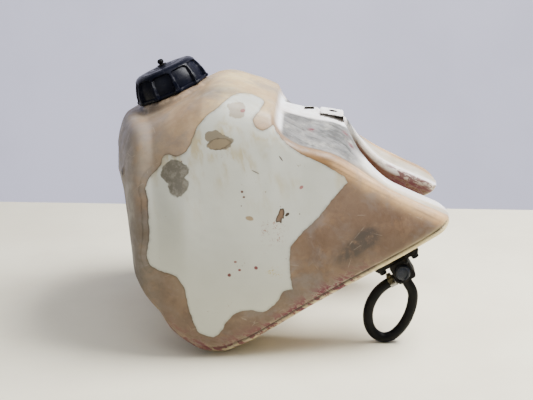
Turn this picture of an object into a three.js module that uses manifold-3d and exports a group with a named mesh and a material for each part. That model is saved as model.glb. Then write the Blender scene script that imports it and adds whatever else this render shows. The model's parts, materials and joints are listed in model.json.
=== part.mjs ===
// Off-road motorcycle fuel tank: hollow moulded saddle tank with cap, fuel tap and hose.
// Millimetres. +X towards the seat, +Y to the rider's right, +Z up, origin under the middle.
import * as THREE from 'three';
import { mergeVertices } from 'three/addons/utils/BufferGeometryUtils.js';
import Module from 'manifold-3d';

const wasm = await Module();
wasm.setup();

// ---- driving dimensions ------------------------------------------------------------------
const GAP = 0.3; // air kept between two touching pieces
const WALL = 4; // moulded wall
const NOSE_X = -213; // foremost point
const FOREMOST_Z = 214; // the front leans back above and below this height
const TAIL_X = 206; // tip of the two tail lobes
const NOSE_DEPTH = 22; // length of the rounding at the front face
const NOSE_SQUARENESS = 3; // 2 is an ellipse, more is squarer
const TAIL_DEPTH = 14; // length of the rounding at the tail tips
const BULGE = 42; // how far the outer front corners lie behind the middle
const BULGE_HALF_WIDTH = 140;
const BULGE_SOFTNESS = 40; // half width of the rounding in the middle of the bowed front
const SLOT_START_X = 77; // the tail splits here
const SLOT_ROUND = 18;
const SLOT_HALF_WIDTH = 42;
const LOBE_CORE = 16; // the tail lobe's middle line ends this far from the slot

// Guide curves of the half body, [x, y, z]: each is one edge of the cross-section.
const SPINE = [
  [-185, 0, 275.5], [-94, 0, 312], [-72, 0, 317], [-58, 0, 315.5], [-44, 0, 311.5], [-12, 0, 299.5],
  [-7, 0, 297], [-2, 0, 284], [4, 0, 281], [26, 0, 278], [57, 0, 272], [77, 0, 265], [84, 0, 256],
  [101, 0, 231], [118, 0, 212], [133, 0, 200], [164, 0, 185], [190, 0, 173], [206, 0, 164],
];
const PLATEAU = [
  [-185, 50, 274.5], [-94, 58, 309.5], [-72, 58, 314.5], [-58, 58, 313], [-44, 58, 309], [-12, 58, 297],
  [-7, 50, 295], [-2, 30, 282], [26, 30, 274], [57, 30, 268], [77, 40, 259], [90, 57, 240], [101, 64, 225],
  [118, 70, 206], [133, 72, 194], [164, 73, 179], [190, 72, 169.5], [206, 70, 163],
];
const RIDGE = [
  [-185, 104, 269], [-150, 114, 283], [-110, 118, 298], [-72, 117, 306.5], [-42, 114, 300], [-9, 110, 289],
  [-5, 111, 280], [2, 112, 268], [12, 112, 259], [27, 111, 251], [46, 110, 246], [60, 109, 242],
  [90, 108, 226], [119, 108, 210.5], [149, 107, 196], [178, 106, 182], [206, 100, 166],
];
const FLANK = [
  [-185, 152, 160], [-120, 166, 134], [-60, 165, 112], [0, 157, 108], [60, 144, 124], [120, 130, 146],
  [170, 119, 160], [206, 107, 162.5],
];
const KEEL_OUT = [
  [-209, 145, 76], [-197, 147, 62], [-185, 148, 48], [-160, 149, 27], [-125, 149, 12], [-90, 147, 1.5],
  [-68, 145, -0.9], [-50, 143, 5], [27, 138, 51], [87, 132, 87], [146, 124, 121], [190, 113, 147],
  [206, 104, 157],
];
const KEEL_IN = [
  [-209, 100, 92], [-197, 99, 80], [-185, 97, 66], [-160, 85, 34], [-125, 76, 15], [-68, 70, 1.2],
  [-50, 69, 7], [27, 63, 54], [87, 57, 90], [146, 51, 124], [190, 46, 149], [206, 44, 157.5],
];
const ARCH = [
  [-185, 62, 176], [-150, 49, 194], [-60, 45, 202], [40, 44.5, 203], [77, 44, 184], [95, 43.5, 150],
  [120, 43, 150], [150, 42.8, 152], [190, 42.7, 160], [206, 42.7, 160],
];
const ROOF = [
  [-185, 0, 198], [-150, 0, 214], [-60, 0, 226], [40, 0, 222], [77, 0, 210], [95, 0, 192],
  [120, 0, 176], [150, 0, 170], [190, 0, 166], [206, 0, 161.5],
];
// How far each corner's rounding reaches, ahead of the seat step and behind it.
const ROUND_DECK = [0.4, 30, 44, 54, 28, 18, 22, 0.4];
const ROUND_SADDLE = [0.4, 18, 13, 54, 28, 18, 22, 0.4];
const ROUND_TAIL = [9, 16, 13, 30, 20, 12, 8, 8];
// How far an inner wall's corner moves for 1 mm of wall: more at the sharp corners.
const WALL_REACH = [1, 1.05, 1.35, 1.05, 1.45, 1.45, 1.25, 1];

const NECK = { x: -138, z: 298.5, tilt: 23, bore: 26, outer: 31, height: 20, collar: 46 };
const THREAD = { pitch: 6, turns: 1.5, neckCrest: 32.6, capCrest: 31.8, foot: 2.4, crest: 1 };
const CAP = { rim: 49, foot: 48, top: 37.5, height: 31.5, scallops: 10, scallop: 5, bore: 33.6, ceiling: 24 };
const TAP = { x: 140, y: -92, z: 115, slope: 31, bolts: 22, body: 12.2, axisX: 0.8, axisZ: -18 };
const VALVE = { chamber: 10.3, disc: 9.9, knob: 8.75, screws: 9.2 };
const HOSE = { outer: 6.3, bore: 4.2 };
const INSERT = { x: -189.3, y: 93, z: 215, turn: 18, radius: 4, bore: 2.2, depth: 12, pad: 6.5 };
const SEAT_INSERT = { x: 34, top: 277.5, radius: 7, depth: 13, bore: 4, pad: 12 };
const REAR_TAB = { top: 274, hole: 64, slope: 9, grommet: 5, sleeve: 3.4, bore: 2.6, depth: 14 };
const CLAMP_TURN = -50; // the clamp ears point up and to the left
const HOSE_ROUTE = [
  [143.7, -93, 85.2], [135.5, -93, 80.2], [130.6, -93.1, 77], [122.4, -93.3, 69], [115.4, -93.3, 57.5],
  [111.6, -93, 45.5], [110.8, -92.6, 33.5], [113.2, -92.2, 21.5], [119.8, -91.8, 11.4], [129.8, -91.4, 6.3],
  [140.4, -91, 8.4], [149.8, -90.4, 16.4], [157.2, -89.6, 27.4], [162.4, -88.6, 40], [165.2, -87.7, 52.6],
  [165.4, -87.1, 63.6], [163.2, -87, 70.6], [160.4, -87, 75.3], [157.5, -87, 80.1], [154.7, -87, 84.8],
];

// ---- materials ---------------------------------------------------------------------------
const finish = (color, roughness, metalness = 0) =>
  new THREE.MeshStandardMaterial({ color, roughness, metalness });
const SHELL_PLASTIC = finish(0xcbb292, 0.55);
const VINYL = finish(0xc9cac4, 0.5);
const CAP_PLASTIC = finish(0x1c1e22, 0.35);
const TAP_CASTING = finish(0x26262a, 0.5, 0.2);
const KNOB_PLASTIC = finish(0x2b2d33, 0.4);
const RUBBER = finish(0x121212, 0.7);
const STEEL = finish(0xb4b4b0, 0.3, 1);
const BRASS = finish(0xb08a45, 0.35, 1);
const NYLON = finish(0xe6e2d2, 0.5);

// ---- geometry tools ----------------------------------------------------------------------
const rad = THREE.MathUtils.degToRad;
const lerp = THREE.MathUtils.lerp;
const clamp = THREE.MathUtils.clamp;

function toSolid(geometry) {
  const bare = geometry.clone();
  bare.deleteAttribute('normal');
  bare.deleteAttribute('uv');
  const merged = mergeVertices(bare, 1e-4);
  const mesh = new wasm.Mesh({
    numProp: 3,
    vertProperties: merged.attributes.position.array,
    triVerts: new Uint32Array(merged.index.array),
  });
  return new wasm.Manifold(mesh);
}

function toGeometry(solid) {
  const mesh = solid.getMesh();
  const geometry = new THREE.BufferGeometry();
  geometry.setAttribute('position', new THREE.BufferAttribute(new Float32Array(mesh.vertProperties), 3));
  geometry.setIndex(new THREE.BufferAttribute(new Uint32Array(mesh.triVerts), 1));
  geometry.computeVertexNormals();
  return geometry;
}

const union = (...solids) => solids.reduce((sum, next) => sum.add(next));
const cut = (body, ...tools) => tools.reduce((rest, tool) => rest.subtract(tool), body);

// A closed solid through rings of equal length; wrap joins the last ring to the first.
function loft(rings, wrap = false) {
  const count = rings[0].length;
  const points = rings.flat().flatMap((p) => [p.x, p.y, p.z]);
  const faces = [];
  const spans = wrap ? rings.length : rings.length - 1;
  for (let i = 0; i < spans; i += 1) {
    const a = i * count;
    const b = ((i + 1) % rings.length) * count;
    for (let j = 0; j < count; j += 1) {
      const k = (j + 1) % count;
      faces.push(a + j, a + k, b + k, a + j, b + k, b + j);
    }
  }
  if (!wrap) {
    const last = (rings.length - 1) * count;
    for (const [p, q, r] of capFaces(rings[0])) faces.push(q, p, r);
    for (const [p, q, r] of capFaces(rings[rings.length - 1])) faces.push(last + p, last + q, last + r);
  }
  const geometry = new THREE.BufferGeometry();
  geometry.setAttribute('position', new THREE.Float32BufferAttribute(points, 3));
  geometry.setIndex(faces);
  const solid = toSolid(geometry);
  return solid.volume() < 0 ? toSolid(flipped(geometry)) : solid;
}

// Triangles of one end ring, flattened on its own mean plane and turned to the ring's winding.
function capFaces(ring) {
  const normal = new THREE.Vector3();
  ring.forEach((p, i) => {
    const q = ring[(i + 1) % ring.length];
    normal.x += (p.y - q.y) * (p.z + q.z);
    normal.y += (p.z - q.z) * (p.x + q.x);
    normal.z += (p.x - q.x) * (p.y + q.y);
  });
  const turn = new THREE.Quaternion().setFromUnitVectors(normal.normalize(), new THREE.Vector3(0, 0, 1));
  const flat = ring.map((p) => {
    const q = p.clone().applyQuaternion(turn);
    return new THREE.Vector2(q.x, q.y);
  });
  return THREE.ShapeUtils.triangulateShape(flat, []);
}

function flipped(geometry) {
  const index = Array.from(geometry.index.array);
  for (let i = 0; i < index.length; i += 3) [index[i], index[i + 1]] = [index[i + 1], index[i]];
  return geometry.clone().setIndex(index);
}

function mirroredY(geometry) {
  return flipped(geometry.clone().applyMatrix4(new THREE.Matrix4().makeScale(1, -1, 1)));
}

// A turned part: [radius, height] pairs, closed on the axis or on itself, along local +Z.
function turned(profile, sides = 32) {
  const points = profile.map(([r, h]) => new THREE.Vector2(r, h));
  const geometry = new THREE.LatheGeometry(points, sides).rotateX(Math.PI / 2);
  const solid = toSolid(geometry);
  return solid.volume() < 0 ? toSolid(flipped(geometry)) : solid;
}

const rod = (radius, low, high, sides = 20) =>
  turned([[0, low], [radius, low], [radius, high], [0, high]], sides);
const tube = (inner, outer, low, high, sides = 20) =>
  turned([[inner, low], [outer, low], [outer, high], [inner, high], [inner, low]], sides);

function box(x0, x1, y0, y1, z0, z1) {
  const geometry = new THREE.BoxGeometry(x1 - x0, y1 - y0, z1 - z0);
  return toSolid(geometry.translate((x0 + x1) / 2, (y0 + y1) / 2, (z0 + z1) / 2));
}

function extruded(shape, low, high, curveSegments = 10) {
  const settings = { depth: high - low, bevelEnabled: false, curveSegments };
  const geometry = new THREE.ExtrudeGeometry(shape, settings);
  return toSolid(geometry.translate(0, 0, low));
}

function moved(solid, matrix) {
  return solid.transform(matrix.elements);
}

const at = (x, y, z) => new THREE.Matrix4().makeTranslation(x, y, z);
const turnX = (degrees) => new THREE.Matrix4().makeRotationX(rad(degrees));
const turnY = (degrees) => new THREE.Matrix4().makeRotationY(rad(degrees));
const turnZ = (degrees) => new THREE.Matrix4().makeRotationZ(rad(degrees));

// ---- tank body ---------------------------------------------------------------------------
// Monotone cubic through the guide's points, so a step never overshoots.
function along(guide, x) {
  const last = guide.length - 1;
  if (x <= guide[0][0]) return [guide[0][1], guide[0][2]];
  if (x >= guide[last][0]) return [guide[last][1], guide[last][2]];
  const i = guide.findIndex((p, k) => k < last && x <= guide[k + 1][0]);
  const span = guide[i + 1][0] - guide[i][0];
  const t = (x - guide[i][0]) / span;
  return [1, 2].map((axis) => {
    const slope = (k) => (guide[k + 1][axis] - guide[k][axis]) / (guide[k + 1][0] - guide[k][0]);
    const tangent = (k) => {
      if (k === 0 || k === last) return slope(Math.min(k, last - 1));
      const before = slope(k - 1);
      const after = slope(k);
      return before * after <= 0 ? 0 : (2 * before * after) / (before + after);
    };
    const a = guide[i][axis];
    const b = guide[i + 1][axis];
    const ta = tangent(i) * span;
    const tb = tangent(i + 1) * span;
    const t2 = t * t;
    const t3 = t2 * t;
    return (2 * t3 - 3 * t2 + 1) * a + (t3 - 2 * t2 + t) * ta + (3 * t2 - 2 * t3) * b + (t3 - t2) * tb;
  });
}

// Half width of the rear slot; just past the middle where the two halves are one.
function slotHalfWidth(x, wall = 0) {
  const ahead = SLOT_START_X + SLOT_ROUND - (x + wall);
  if (ahead >= SLOT_ROUND) return -0.5;
  return wall + SLOT_HALF_WIDTH * Math.sqrt(1 - (Math.max(ahead, 0) / SLOT_ROUND) ** 2);
}

// The eight corners of the half section at x, and the points on its middle line facing them.
function section(x, inset) {
  const guides = [SPINE, PLATEAU, RIDGE, FLANK, KEEL_OUT, KEEL_IN, ARCH, ROOF];
  const corners = guides.map((guide) => new THREE.Vector2(...along(guide, x)));
  const edge = slotHalfWidth(x);
  corners[0].x = edge;
  corners[7].x = edge;
  const shoulder = corners[2].clone().add(corners[6]).multiplyScalar(0.5);
  const top = corners[0].clone().add(corners[7]).multiplyScalar(0.5);
  if (x > SLOT_START_X) top.x += LOBE_CORE * clamp((x - SLOT_START_X) / SLOT_ROUND, 0, 1);
  const foot = corners[4].clone().add(corners[5]).multiplyScalar(0.5).lerp(shoulder, 0.22);
  const upper = top.clone().lerp(shoulder, 0.5);
  const lower = shoulder.clone().lerp(foot, 0.55);
  const middle = [top, upper, shoulder, lower, foot, foot, shoulder, top];
  if (inset) {
    corners.forEach((corner, i) => {
      const reach = Math.min(inset * WALL_REACH[i], corner.distanceTo(middle[i]) * 0.9);
      corner.add(middle[i].clone().sub(corner).normalize().multiplyScalar(reach));
    });
    const innerEdge = slotHalfWidth(x, Math.max(inset, 0));
    for (const i of [0, 7]) corners[i].x = innerEdge;
    for (const i of [1, 6]) corners[i].x = Math.max(corners[i].x, innerEdge + 1);
    corners[6].x = Math.max(corners[6].x, innerEdge + 0.5);
  }
  return { corners, middle };
}

function rounding(x) {
  const deck = clamp((-2 - x) / 7, 0, 1);
  const tail = clamp((x - SLOT_START_X) / SLOT_ROUND, 0, 1);
  return ROUND_SADDLE.map((saddle, i) => lerp(lerp(saddle, ROUND_DECK[i], deck), ROUND_TAIL[i], tail));
}

// One ring: corners pulled to the middle line by collapse, rounded, bent to the bowed front.
function ring(x, collapse, inset, perCorner) {
  const { corners, middle } = section(x, inset);
  const pulled = corners.map((corner, i) => corner.clone().lerp(middle[i], collapse));
  const reach = rounding(x);
  const points = [];
  pulled.forEach((corner, i) => {
    const before = pulled[(i + 7) % 8];
    const after = pulled[(i + 1) % 8];
    const back = Math.min(reach[i], corner.distanceTo(before) * 0.46);
    const ahead = Math.min(reach[i], corner.distanceTo(after) * 0.46);
    const from = corner.clone().add(before.clone().sub(corner).normalize().multiplyScalar(back));
    const to = corner.clone().add(after.clone().sub(corner).normalize().multiplyScalar(ahead));
    for (let k = 0; k < perCorner; k += 1) {
      const t = k / (perCorner - 1);
      const y = (1 - t) ** 2 * from.x + 2 * t * (1 - t) * corner.x + t * t * to.x;
      const z = (1 - t) ** 2 * from.y + 2 * t * (1 - t) * corner.y + t * t * to.y;
      points.push(new THREE.Vector3(0, y, z));
    }
  });
  return points;
}

const bowShare = (y) => Math.hypot(1, y / BULGE_SOFTNESS) - 1;

function bent(points, x) {
  const share = clamp((-90 - x) / 95, 0, 1);
  return points.map((p) => {
    const bow = BULGE * bowShare(p.y) / bowShare(BULGE_HALF_WIDTH);
    const below = Math.max(FOREMOST_Z - p.z, 0) * Math.max(1 - Math.abs(p.y) / 150, 0);
    const lean = 0.16 * Math.max(p.z - FOREMOST_Z, 0) + 0.2 * below;
    return new THREE.Vector3(x + share * (bow + lean), p.y, p.z);
  });
}

// Half of the body between two ends, each closed by rings that draw in to the middle line.
function tankHalf({ inset, stations, front, rear, perCorner, nose, tail }) {
  const rings = [];
  for (const sine of nose) {
    const x = front + NOSE_DEPTH * (1 - sine);
    const collapse = sine === 1 ? 0.94 : 1 - (1 - sine ** NOSE_SQUARENESS) ** (1 / NOSE_SQUARENESS);
    rings.push(bent(ring(x, Math.min(collapse, 0.94), inset, perCorner), x));
  }
  for (const x of stations) rings.push(bent(ring(x, 0, inset, perCorner), x));
  for (const sine of tail) {
    const x = rear - TAIL_DEPTH * (1 - sine);
    const collapse = sine === 1 ? 0.9 : 1 - Math.sqrt(1 - sine * sine);
    rings.push(bent(ring(x, Math.min(collapse, 0.9), inset, perCorner), x));
  }
  return loft(rings);
}

function bothHalves(options) {
  const half = tankHalf(options);
  return half.add(toSolid(mirroredY(toGeometry(half))));
}

const OUTSIDE = {
  inset: 0, front: NOSE_X, rear: TAIL_X, perCorner: 3, nose: [1, 0.96, 0.8, 0.5], tail: [0.5, 0.85, 1],
  stations: [
    -184, -165, -138, -108, -88, -70, -45, -14, -8, -5, -1, 8, 26, 52, 76.9, 78, 82, 88, 95, 106, 122, 146,
    170, 190,
  ],
};
const INSIDE = {
  inset: WALL, front: NOSE_X + WALL + 1, rear: 172, perCorner: 2, nose: [1, 0.85, 0.4], tail: [0.6, 1],
  stations: [-176, -145, -105, -72, -40, -15, -5, 8, 40, 71.9, 73, 78, 90, 115, 148],
};

// Filler neck frame: +Z along the cap's axis, zero at the cap's rim.
const neckFrame = at(NECK.x, 0, NECK.z).multiply(turnY(-NECK.tilt));
// Tap frame: +Z into the tank, zero on the tank's flat pad, +X up the slope of the underside.
const tapFrame = at(TAP.x, TAP.y, TAP.z).multiply(turnY(-TAP.slope));

// A helical ridge from its root to its crest radius, starting at height low.
function threadRidge(root, crest, low) {
  const perTurn = 24;
  const rings = [];
  for (let i = 0; i <= perTurn * THREAD.turns; i += 1) {
    const turn = i / perTurn;
    const angle = 2 * Math.PI * turn;
    const z = low + THREAD.pitch * turn;
    const corner = (radius, height) =>
      new THREE.Vector3(radius * Math.cos(angle), radius * Math.sin(angle), z + height);
    const half = THREAD.foot / 2;
    const tip = THREAD.crest / 2;
    rings.push([corner(root, -half), corner(crest, -tip), corner(crest, tip), corner(root, half)]);
  }
  return loft(rings);
}

// Front inserts: +Z into the tank, square to the bowed front face.
const insertFrame = (side) =>
  at(INSERT.x, side * INSERT.y, INSERT.z).multiply(turnZ(-side * INSERT.turn)).multiply(turnY(90));
const seatFrame = at(SEAT_INSERT.x, 0, SEAT_INSERT.top);
const tabFrame = at(REAR_TAB.hole, 0, REAR_TAB.top).multiply(turnY(REAR_TAB.slope));

function tankShell() {
  const outer = bothHalves(OUTSIDE);
  const cavity = bothHalves(INSIDE);
  const neckSolid = union(rod(NECK.outer, -12, NECK.height, 36), rod(NECK.collar, -14, -0.8, 36));
  const neck = moved(neckSolid, neckFrame);
  const neckBore = moved(rod(NECK.bore, -30, NECK.height + 1, 32), neckFrame);
  const neckThread = moved(threadRidge(NECK.outer - 0.5, THREAD.neckCrest, 5), neckFrame);
  const tapBoss = moved(extruded(flangeShape(16, 10, TAP.bolts), 0, 15, 5), tapFrame);
  const seatBoss = moved(rod(SEAT_INSERT.pad, -20, 0), seatFrame);
  const tab = moved(box(-16, 14, -17, 17, -9, 0), tabFrame);
  const tabBoss = moved(rod(10, -22, 0), tabFrame);
  const solids = [neck, neckThread, tapBoss, seatBoss, tab, tabBoss];
  const holes = [
    neckBore,
    moved(rod(8, -1, 30), tapFrame),
    moved(rod(SEAT_INSERT.radius + GAP, -SEAT_INSERT.depth - GAP, 1), seatFrame),
    moved(rod(REAR_TAB.grommet + GAP, -REAR_TAB.depth - 1, 1), tabFrame),
  ];
  for (const side of [-1, 1]) {
    solids.push(moved(rod(INSERT.pad, 0, 20), insertFrame(side)));
    holes.push(moved(rod(INSERT.radius + GAP, -3, INSERT.depth + GAP), insertFrame(side)));
    holes.push(moved(rod(4.9, -1, 11.3), tapFrame.clone().multiply(at(side * TAP.bolts, 0, 0))));
  }
  return cut(union(cut(outer, cavity), ...solids), ...holes);
}

// ---- small fittings of the tank ----------------------------------------------------------
// Torn edge of the vinyl graphic on the left side, seen square on, [x, z].
const DECAL_OUTLINE = [
  [-130, 247], [-117, 246], [-107, 251], [-93, 279], [-82, 292], [-61, 306], [-43, 310], [-20, 301],
  [-22, 295], [-30, 285], [-27, 276], [-19, 272], [-7, 278], [7, 259], [23, 247], [53, 232], [77, 219],
  [81, 213], [46, 174], [15, 142], [15, 114], [18, 91], [-1, 74], [-15, 63], [-48, 62], [-60, 50],
  [-75, 31], [-91, 36], [-98, 48], [-108, 94], [-120, 110], [-147, 117], [-152, 129], [-149, 177],
  [-154, 208], [-149, 220],
];

function decal() {
  const skin = (inset) => bothHalves({ ...OUTSIDE, inset, front: NOSE_X + inset });
  const outline = new THREE.Shape(DECAL_OUTLINE.map(([x, z]) => new THREE.Vector2(x, z)));
  const cutter = moved(extruded(outline, 60, 200, 1), turnX(90));
  const below = box(-200, 200, -106, 0, -20, 215); // keeps the tunnel's wall out
  return skin(-0.9).subtract(skin(-0.35)).intersect(cutter.subtract(below));
}

// ---- flange outline shared by the tap's seal, flange and pad --------------------------------
function flangeShape(middleRadius, endRadius, halfPitch) {
  const lean = Math.acos((middleRadius - endRadius) / halfPitch);
  const shape = new THREE.Shape();
  shape.absarc(halfPitch, 0, endRadius, -lean, lean);
  shape.absarc(0, 0, middleRadius, lean, Math.PI - lean);
  shape.absarc(-halfPitch, 0, endRadius, Math.PI - lean, Math.PI + lean);
  shape.absarc(0, 0, middleRadius, Math.PI + lean, 2 * Math.PI - lean);
  return shape;
}

// ---- filler cap --------------------------------------------------------------------------
function capRing(radius, height, depth) {
  const sides = CAP.scallops * 6;
  return Array.from({ length: sides }, (_, i) => {
    const angle = (2 * Math.PI * i) / sides;
    const wave = Math.sin((CAP.scallops * angle) / 2) ** 2;
    const r = radius - depth * Math.sqrt(wave);
    return new THREE.Vector3(r * Math.cos(angle), r * Math.sin(angle), height);
  });
}

function capShell() {
  const middle = lerp(CAP.foot, CAP.top, 0.2);
  const upper = lerp(CAP.foot, CAP.top, 0.5);
  const rings = [
    capRing(CAP.rim, 0, 1.6), capRing(CAP.rim, 3.4, 1.6), capRing(CAP.foot, 4.6, CAP.scallop),
    capRing(middle, 14, CAP.scallop), capRing(upper, 22, CAP.scallop * 0.6),
    capRing(CAP.top, 29.6, 0.6), capRing(CAP.top - 3, CAP.height, 0.3), capRing(14, CAP.height + 2.4, 0),
    capRing(8, CAP.height + 2.6, 0),
  ];
  const body = loft(rings);
  const bore = rod(CAP.bore, -1, CAP.ceiling, 36);
  const pocket = tube(36.2, 38.8, -1, 7, 30);
  const thread = threadRidge(CAP.bore + 0.6, THREAD.capCrest, 5 + THREAD.pitch / 2);
  return union(cut(body, bore, pocket, rod(2.9, 0, 60, 20)), thread);
}

const vent = () => turned([
  [0, 20.8], [6, 20.8], [6, 23.6], [2.6, 23.6], [2.6, 36.6], [3.6, 38], [4, 39.6], [3, 41.6], [0, 42.3],
], 24);

// ---- fuel tap ----------------------------------------------------------------------------
const facing = (y) => at(TAP.axisX, y, TAP.axisZ).multiply(turnX(90)); // +Z of a turned piece to -Y

const coverScrewFrames = [1, -1].map((side) =>
  facing(0).multiply(at(side * VALVE.screws, side * VALVE.screws, 0)));

function tapBody() {
  const plate = extruded(flangeShape(13.2, 7.6, TAP.bolts), -8.1, -2.1, 5);
  const left = TAP.axisX - TAP.body;
  const right = TAP.axisX + TAP.body;
  const block = box(left, right, -13.5, 13.5, -33, -7);
  const frontSpigot = moved(rod(3.7, -17, 11.5, 20), at(left, -1, -27.5).multiply(turnY(-90)));
  const rearSpigot = rod(3.7, -44, -32, 20);
  const chamber = moved(rod(VALVE.chamber, 3.3, 20), facing(0));
  const holes = [
    chamber,
    rod(7.2, -5.1, 0), rod(3.3, -13, 0, 20),
    moved(rod(2, -10, 14, 16), at(left, -1, -27.5).multiply(turnY(-90))),
    moved(rod(2, -50, -24, 16), at(-3, 5, 0)),
    moved(rod(3.3, -9, 0, 20), at(TAP.bolts, 0, 0)), moved(rod(3.3, -9, 0, 20), at(-TAP.bolts, 0, 0)),
    ...coverScrewFrames.map((frame) => moved(rod(1.7, 5, 20, 14), frame)),
  ];
  return cut(union(plate, block, frontSpigot, moved(rearSpigot, at(-3, 5, 0))), ...holes);
}

function valveSeal() {
  const ports = [0, 120, 240].map((turn) => moved(rod(1.8, 1, 7, 12), turnZ(turn).multiply(at(5.4, 0, 0))));
  return moved(cut(rod(VALVE.disc, 3.6, 5.9, 24), ...ports), facing(0));
}

function tapKnob() {
  const drum = turned([
    [0, 6.3], [VALVE.disc, 6.3], [VALVE.disc, 9], [VALVE.knob, 9], [VALVE.knob, 20.5], [7.6, 22], [4, 22.8],
    [0, 23],
  ], 32);
  const grip = box(-1.8, 1.8, -8, 8, 20, 25.4);
  const dish = moved(rod(9, 20.9, 30, 32), at(0, 0, 2.6));
  return moved(union(drum, grip.subtract(dish)), facing(0));
}

function waveSpring() {
  const rings = [];
  for (let i = 0; i < 24; i += 1) {
    const angle = (2 * Math.PI * i) / 24;
    const lift = 11.1 + 1.5 * Math.cos(3 * angle);
    const corner = (r, z) => new THREE.Vector3(r * Math.cos(angle), r * Math.sin(angle), z);
    rings.push([corner(9.1, lift), corner(10, lift), corner(10, lift + 0.5), corner(9.1, lift + 0.5)]);
  }
  return moved(loft(rings, true), facing(0));
}

function tapCover() {
  const plate = moved(box(-12, 12, -13.5, 13.5, 13.8, 16.4), facing(0));
  const opening = moved(rod(VALVE.knob + 0.4, 12, 18, 32), facing(0));
  return cut(plate, opening, ...coverScrewFrames.map((frame) => moved(rod(1.7, 12, 18, 14), frame)));
}

const coverScrew = () => turned([
  [0, 6.6], [1.4, 6.6], [1.4, 16.7], [2.3, 16.7], [2.3, 18.2], [1.5, 18.8], [0, 18.8],
], 18);

function tapBolt() {
  const shank = rod(2.9, -10, 9, 18);
  const head = moved(rod(4.8, -14.4, -9.8, 6), turnZ(30));
  return union(shank, head, rod(5.4, -10.8, -9.7, 20));
}

const strainer = () => turned([
  [3.4, -4.8], [6.9, -4.8], [6.9, 50], [6, 52], [0, 52], [0, 51.2], [5.6, 51.2], [6.2, 49.6],
  [6.2, -3.8], [3.4, -3.8], [3.4, -4.8],
], 20);

// ---- hose and its clamp -----------------------------------------------------------------
function hose() {
  const points = HOSE_ROUTE.map((p) => new THREE.Vector3(...p));
  const curve = new THREE.CatmullRomCurve3(points, false, 'centripetal');
  const section2d = new THREE.Shape();
  section2d.absarc(0, 0, HOSE.outer, 0, 2 * Math.PI);
  const bore = new THREE.Path();
  bore.absarc(0, 0, HOSE.bore, 0, 2 * Math.PI, true);
  section2d.holes.push(bore);
  return toSolid(new THREE.ExtrudeGeometry(section2d, { steps: 30, extrudePath: curve, curveSegments: 5 }));
}

const screwFrame = at(HOSE.outer + 4, 0, 0).multiply(turnX(90));

function clampBand() {
  const ears = box(HOSE.outer + 0.95, HOSE.outer + 7, -4.2, 4.2, -3.6, 3.6);
  return union(
    tube(HOSE.outer + 0.5, HOSE.outer + 1.2, -4, 4, 24),
    cut(ears, moved(rod(2.3, -9, 9, 16), screwFrame)),
  );
}

function clampScrew() {
  const profile = [[0, -7.5], [1.9, -7.5], [1.9, 4.5], [3.4, 4.5], [3.4, 7.6], [0, 7.6]];
  return moved(turned(profile, 16), screwFrame);
}

// ---- assembly ----------------------------------------------------------------------------
const model = new THREE.Group();

function group(matrix) {
  const holder = new THREE.Group();
  holder.applyMatrix4(matrix);
  model.add(holder);
  return holder;
}

function place(parent, name, solid, material) {
  const mesh = new THREE.Mesh(toGeometry(solid), material);
  mesh.name = name;
  parent.add(mesh);
}

place(model, 'tank_shell', tankShell(), SHELL_PLASTIC);
place(model, 'side_decal', decal(), VINYL);
for (const [name, side] of [['shroud_insert_left', -1], ['shroud_insert_right', 1]]) {
  const holder = group(insertFrame(side));
  place(holder, name, tube(INSERT.bore, INSERT.radius, 0, INSERT.depth, 20), BRASS);
}
const seatGroup = group(seatFrame);
const seatInsert = cut(rod(SEAT_INSERT.radius, -SEAT_INSERT.depth, 0), rod(SEAT_INSERT.bore, -10, 1, 20));
place(seatGroup, 'seat_insert', seatInsert, BRASS);
const tabGroup = group(tabFrame);
const grommetBore = REAR_TAB.sleeve + GAP;
place(tabGroup, 'rear_mount_grommet', tube(grommetBore, REAR_TAB.grommet, -REAR_TAB.depth, -0.2), RUBBER);
place(tabGroup, 'rear_mount_sleeve', tube(REAR_TAB.bore, REAR_TAB.sleeve, -REAR_TAB.depth, -0.1), STEEL);

const capGroup = group(neckFrame);
place(capGroup, 'cap_shell', capShell(), CAP_PLASTIC);
place(capGroup, 'cap_gasket', tube(26.5, 32, NECK.height + GAP, CAP.ceiling - GAP, 28), RUBBER);
place(capGroup, 'vent_nipple', vent(), RUBBER);
place(capGroup, 'vent_washer', tube(3, 6.2, CAP.height + 3, CAP.height + 4, 24), RUBBER);

const tapGroup = group(tapFrame);
const seal = cut(
  extruded(flangeShape(13.2, 7.6, TAP.bolts), -1.8, -GAP, 5),
  rod(7.6, -3, 1),
  moved(rod(3.4, -3, 1, 18), at(TAP.bolts, 0, 0)),
  moved(rod(3.4, -3, 1, 18), at(-TAP.bolts, 0, 0)),
);
place(tapGroup, 'tap_seal', seal, RUBBER);
place(tapGroup, 'tap_body', tapBody(), TAP_CASTING);
for (const [end, side] of [['front', -1], ['rear', 1]]) {
  const holder = new THREE.Group();
  holder.position.set(side * TAP.bolts, 0, 0);
  tapGroup.add(holder);
  place(holder, `tap_insert_${end}`, tube(3.2, 4.6, 0, 11, 20), BRASS);
  place(holder, `tap_washer_${end}`, tube(3.2, 5.6, -9.4, -8.4, 20), STEEL);
  place(holder, `tap_bolt_${end}`, tapBolt(), TAP_CASTING);
}
place(tapGroup, 'standpipe', tube(2.2, 3, -12.6, 40, 16), BRASS);
place(tapGroup, 'strainer', strainer(), NYLON);
place(tapGroup, 'valve_seal', valveSeal(), RUBBER);
place(tapGroup, 'wave_spring', waveSpring(), STEEL);
place(tapGroup, 'tap_knob', tapKnob(), KNOB_PLASTIC);
place(tapGroup, 'tap_cover', tapCover(), TAP_CASTING);
place(tapGroup, 'cover_screw_upper', moved(coverScrew(), coverScrewFrames[0]), STEEL);
place(tapGroup, 'cover_screw_lower', moved(coverScrew(), coverScrewFrames[1]), STEEL);

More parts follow.
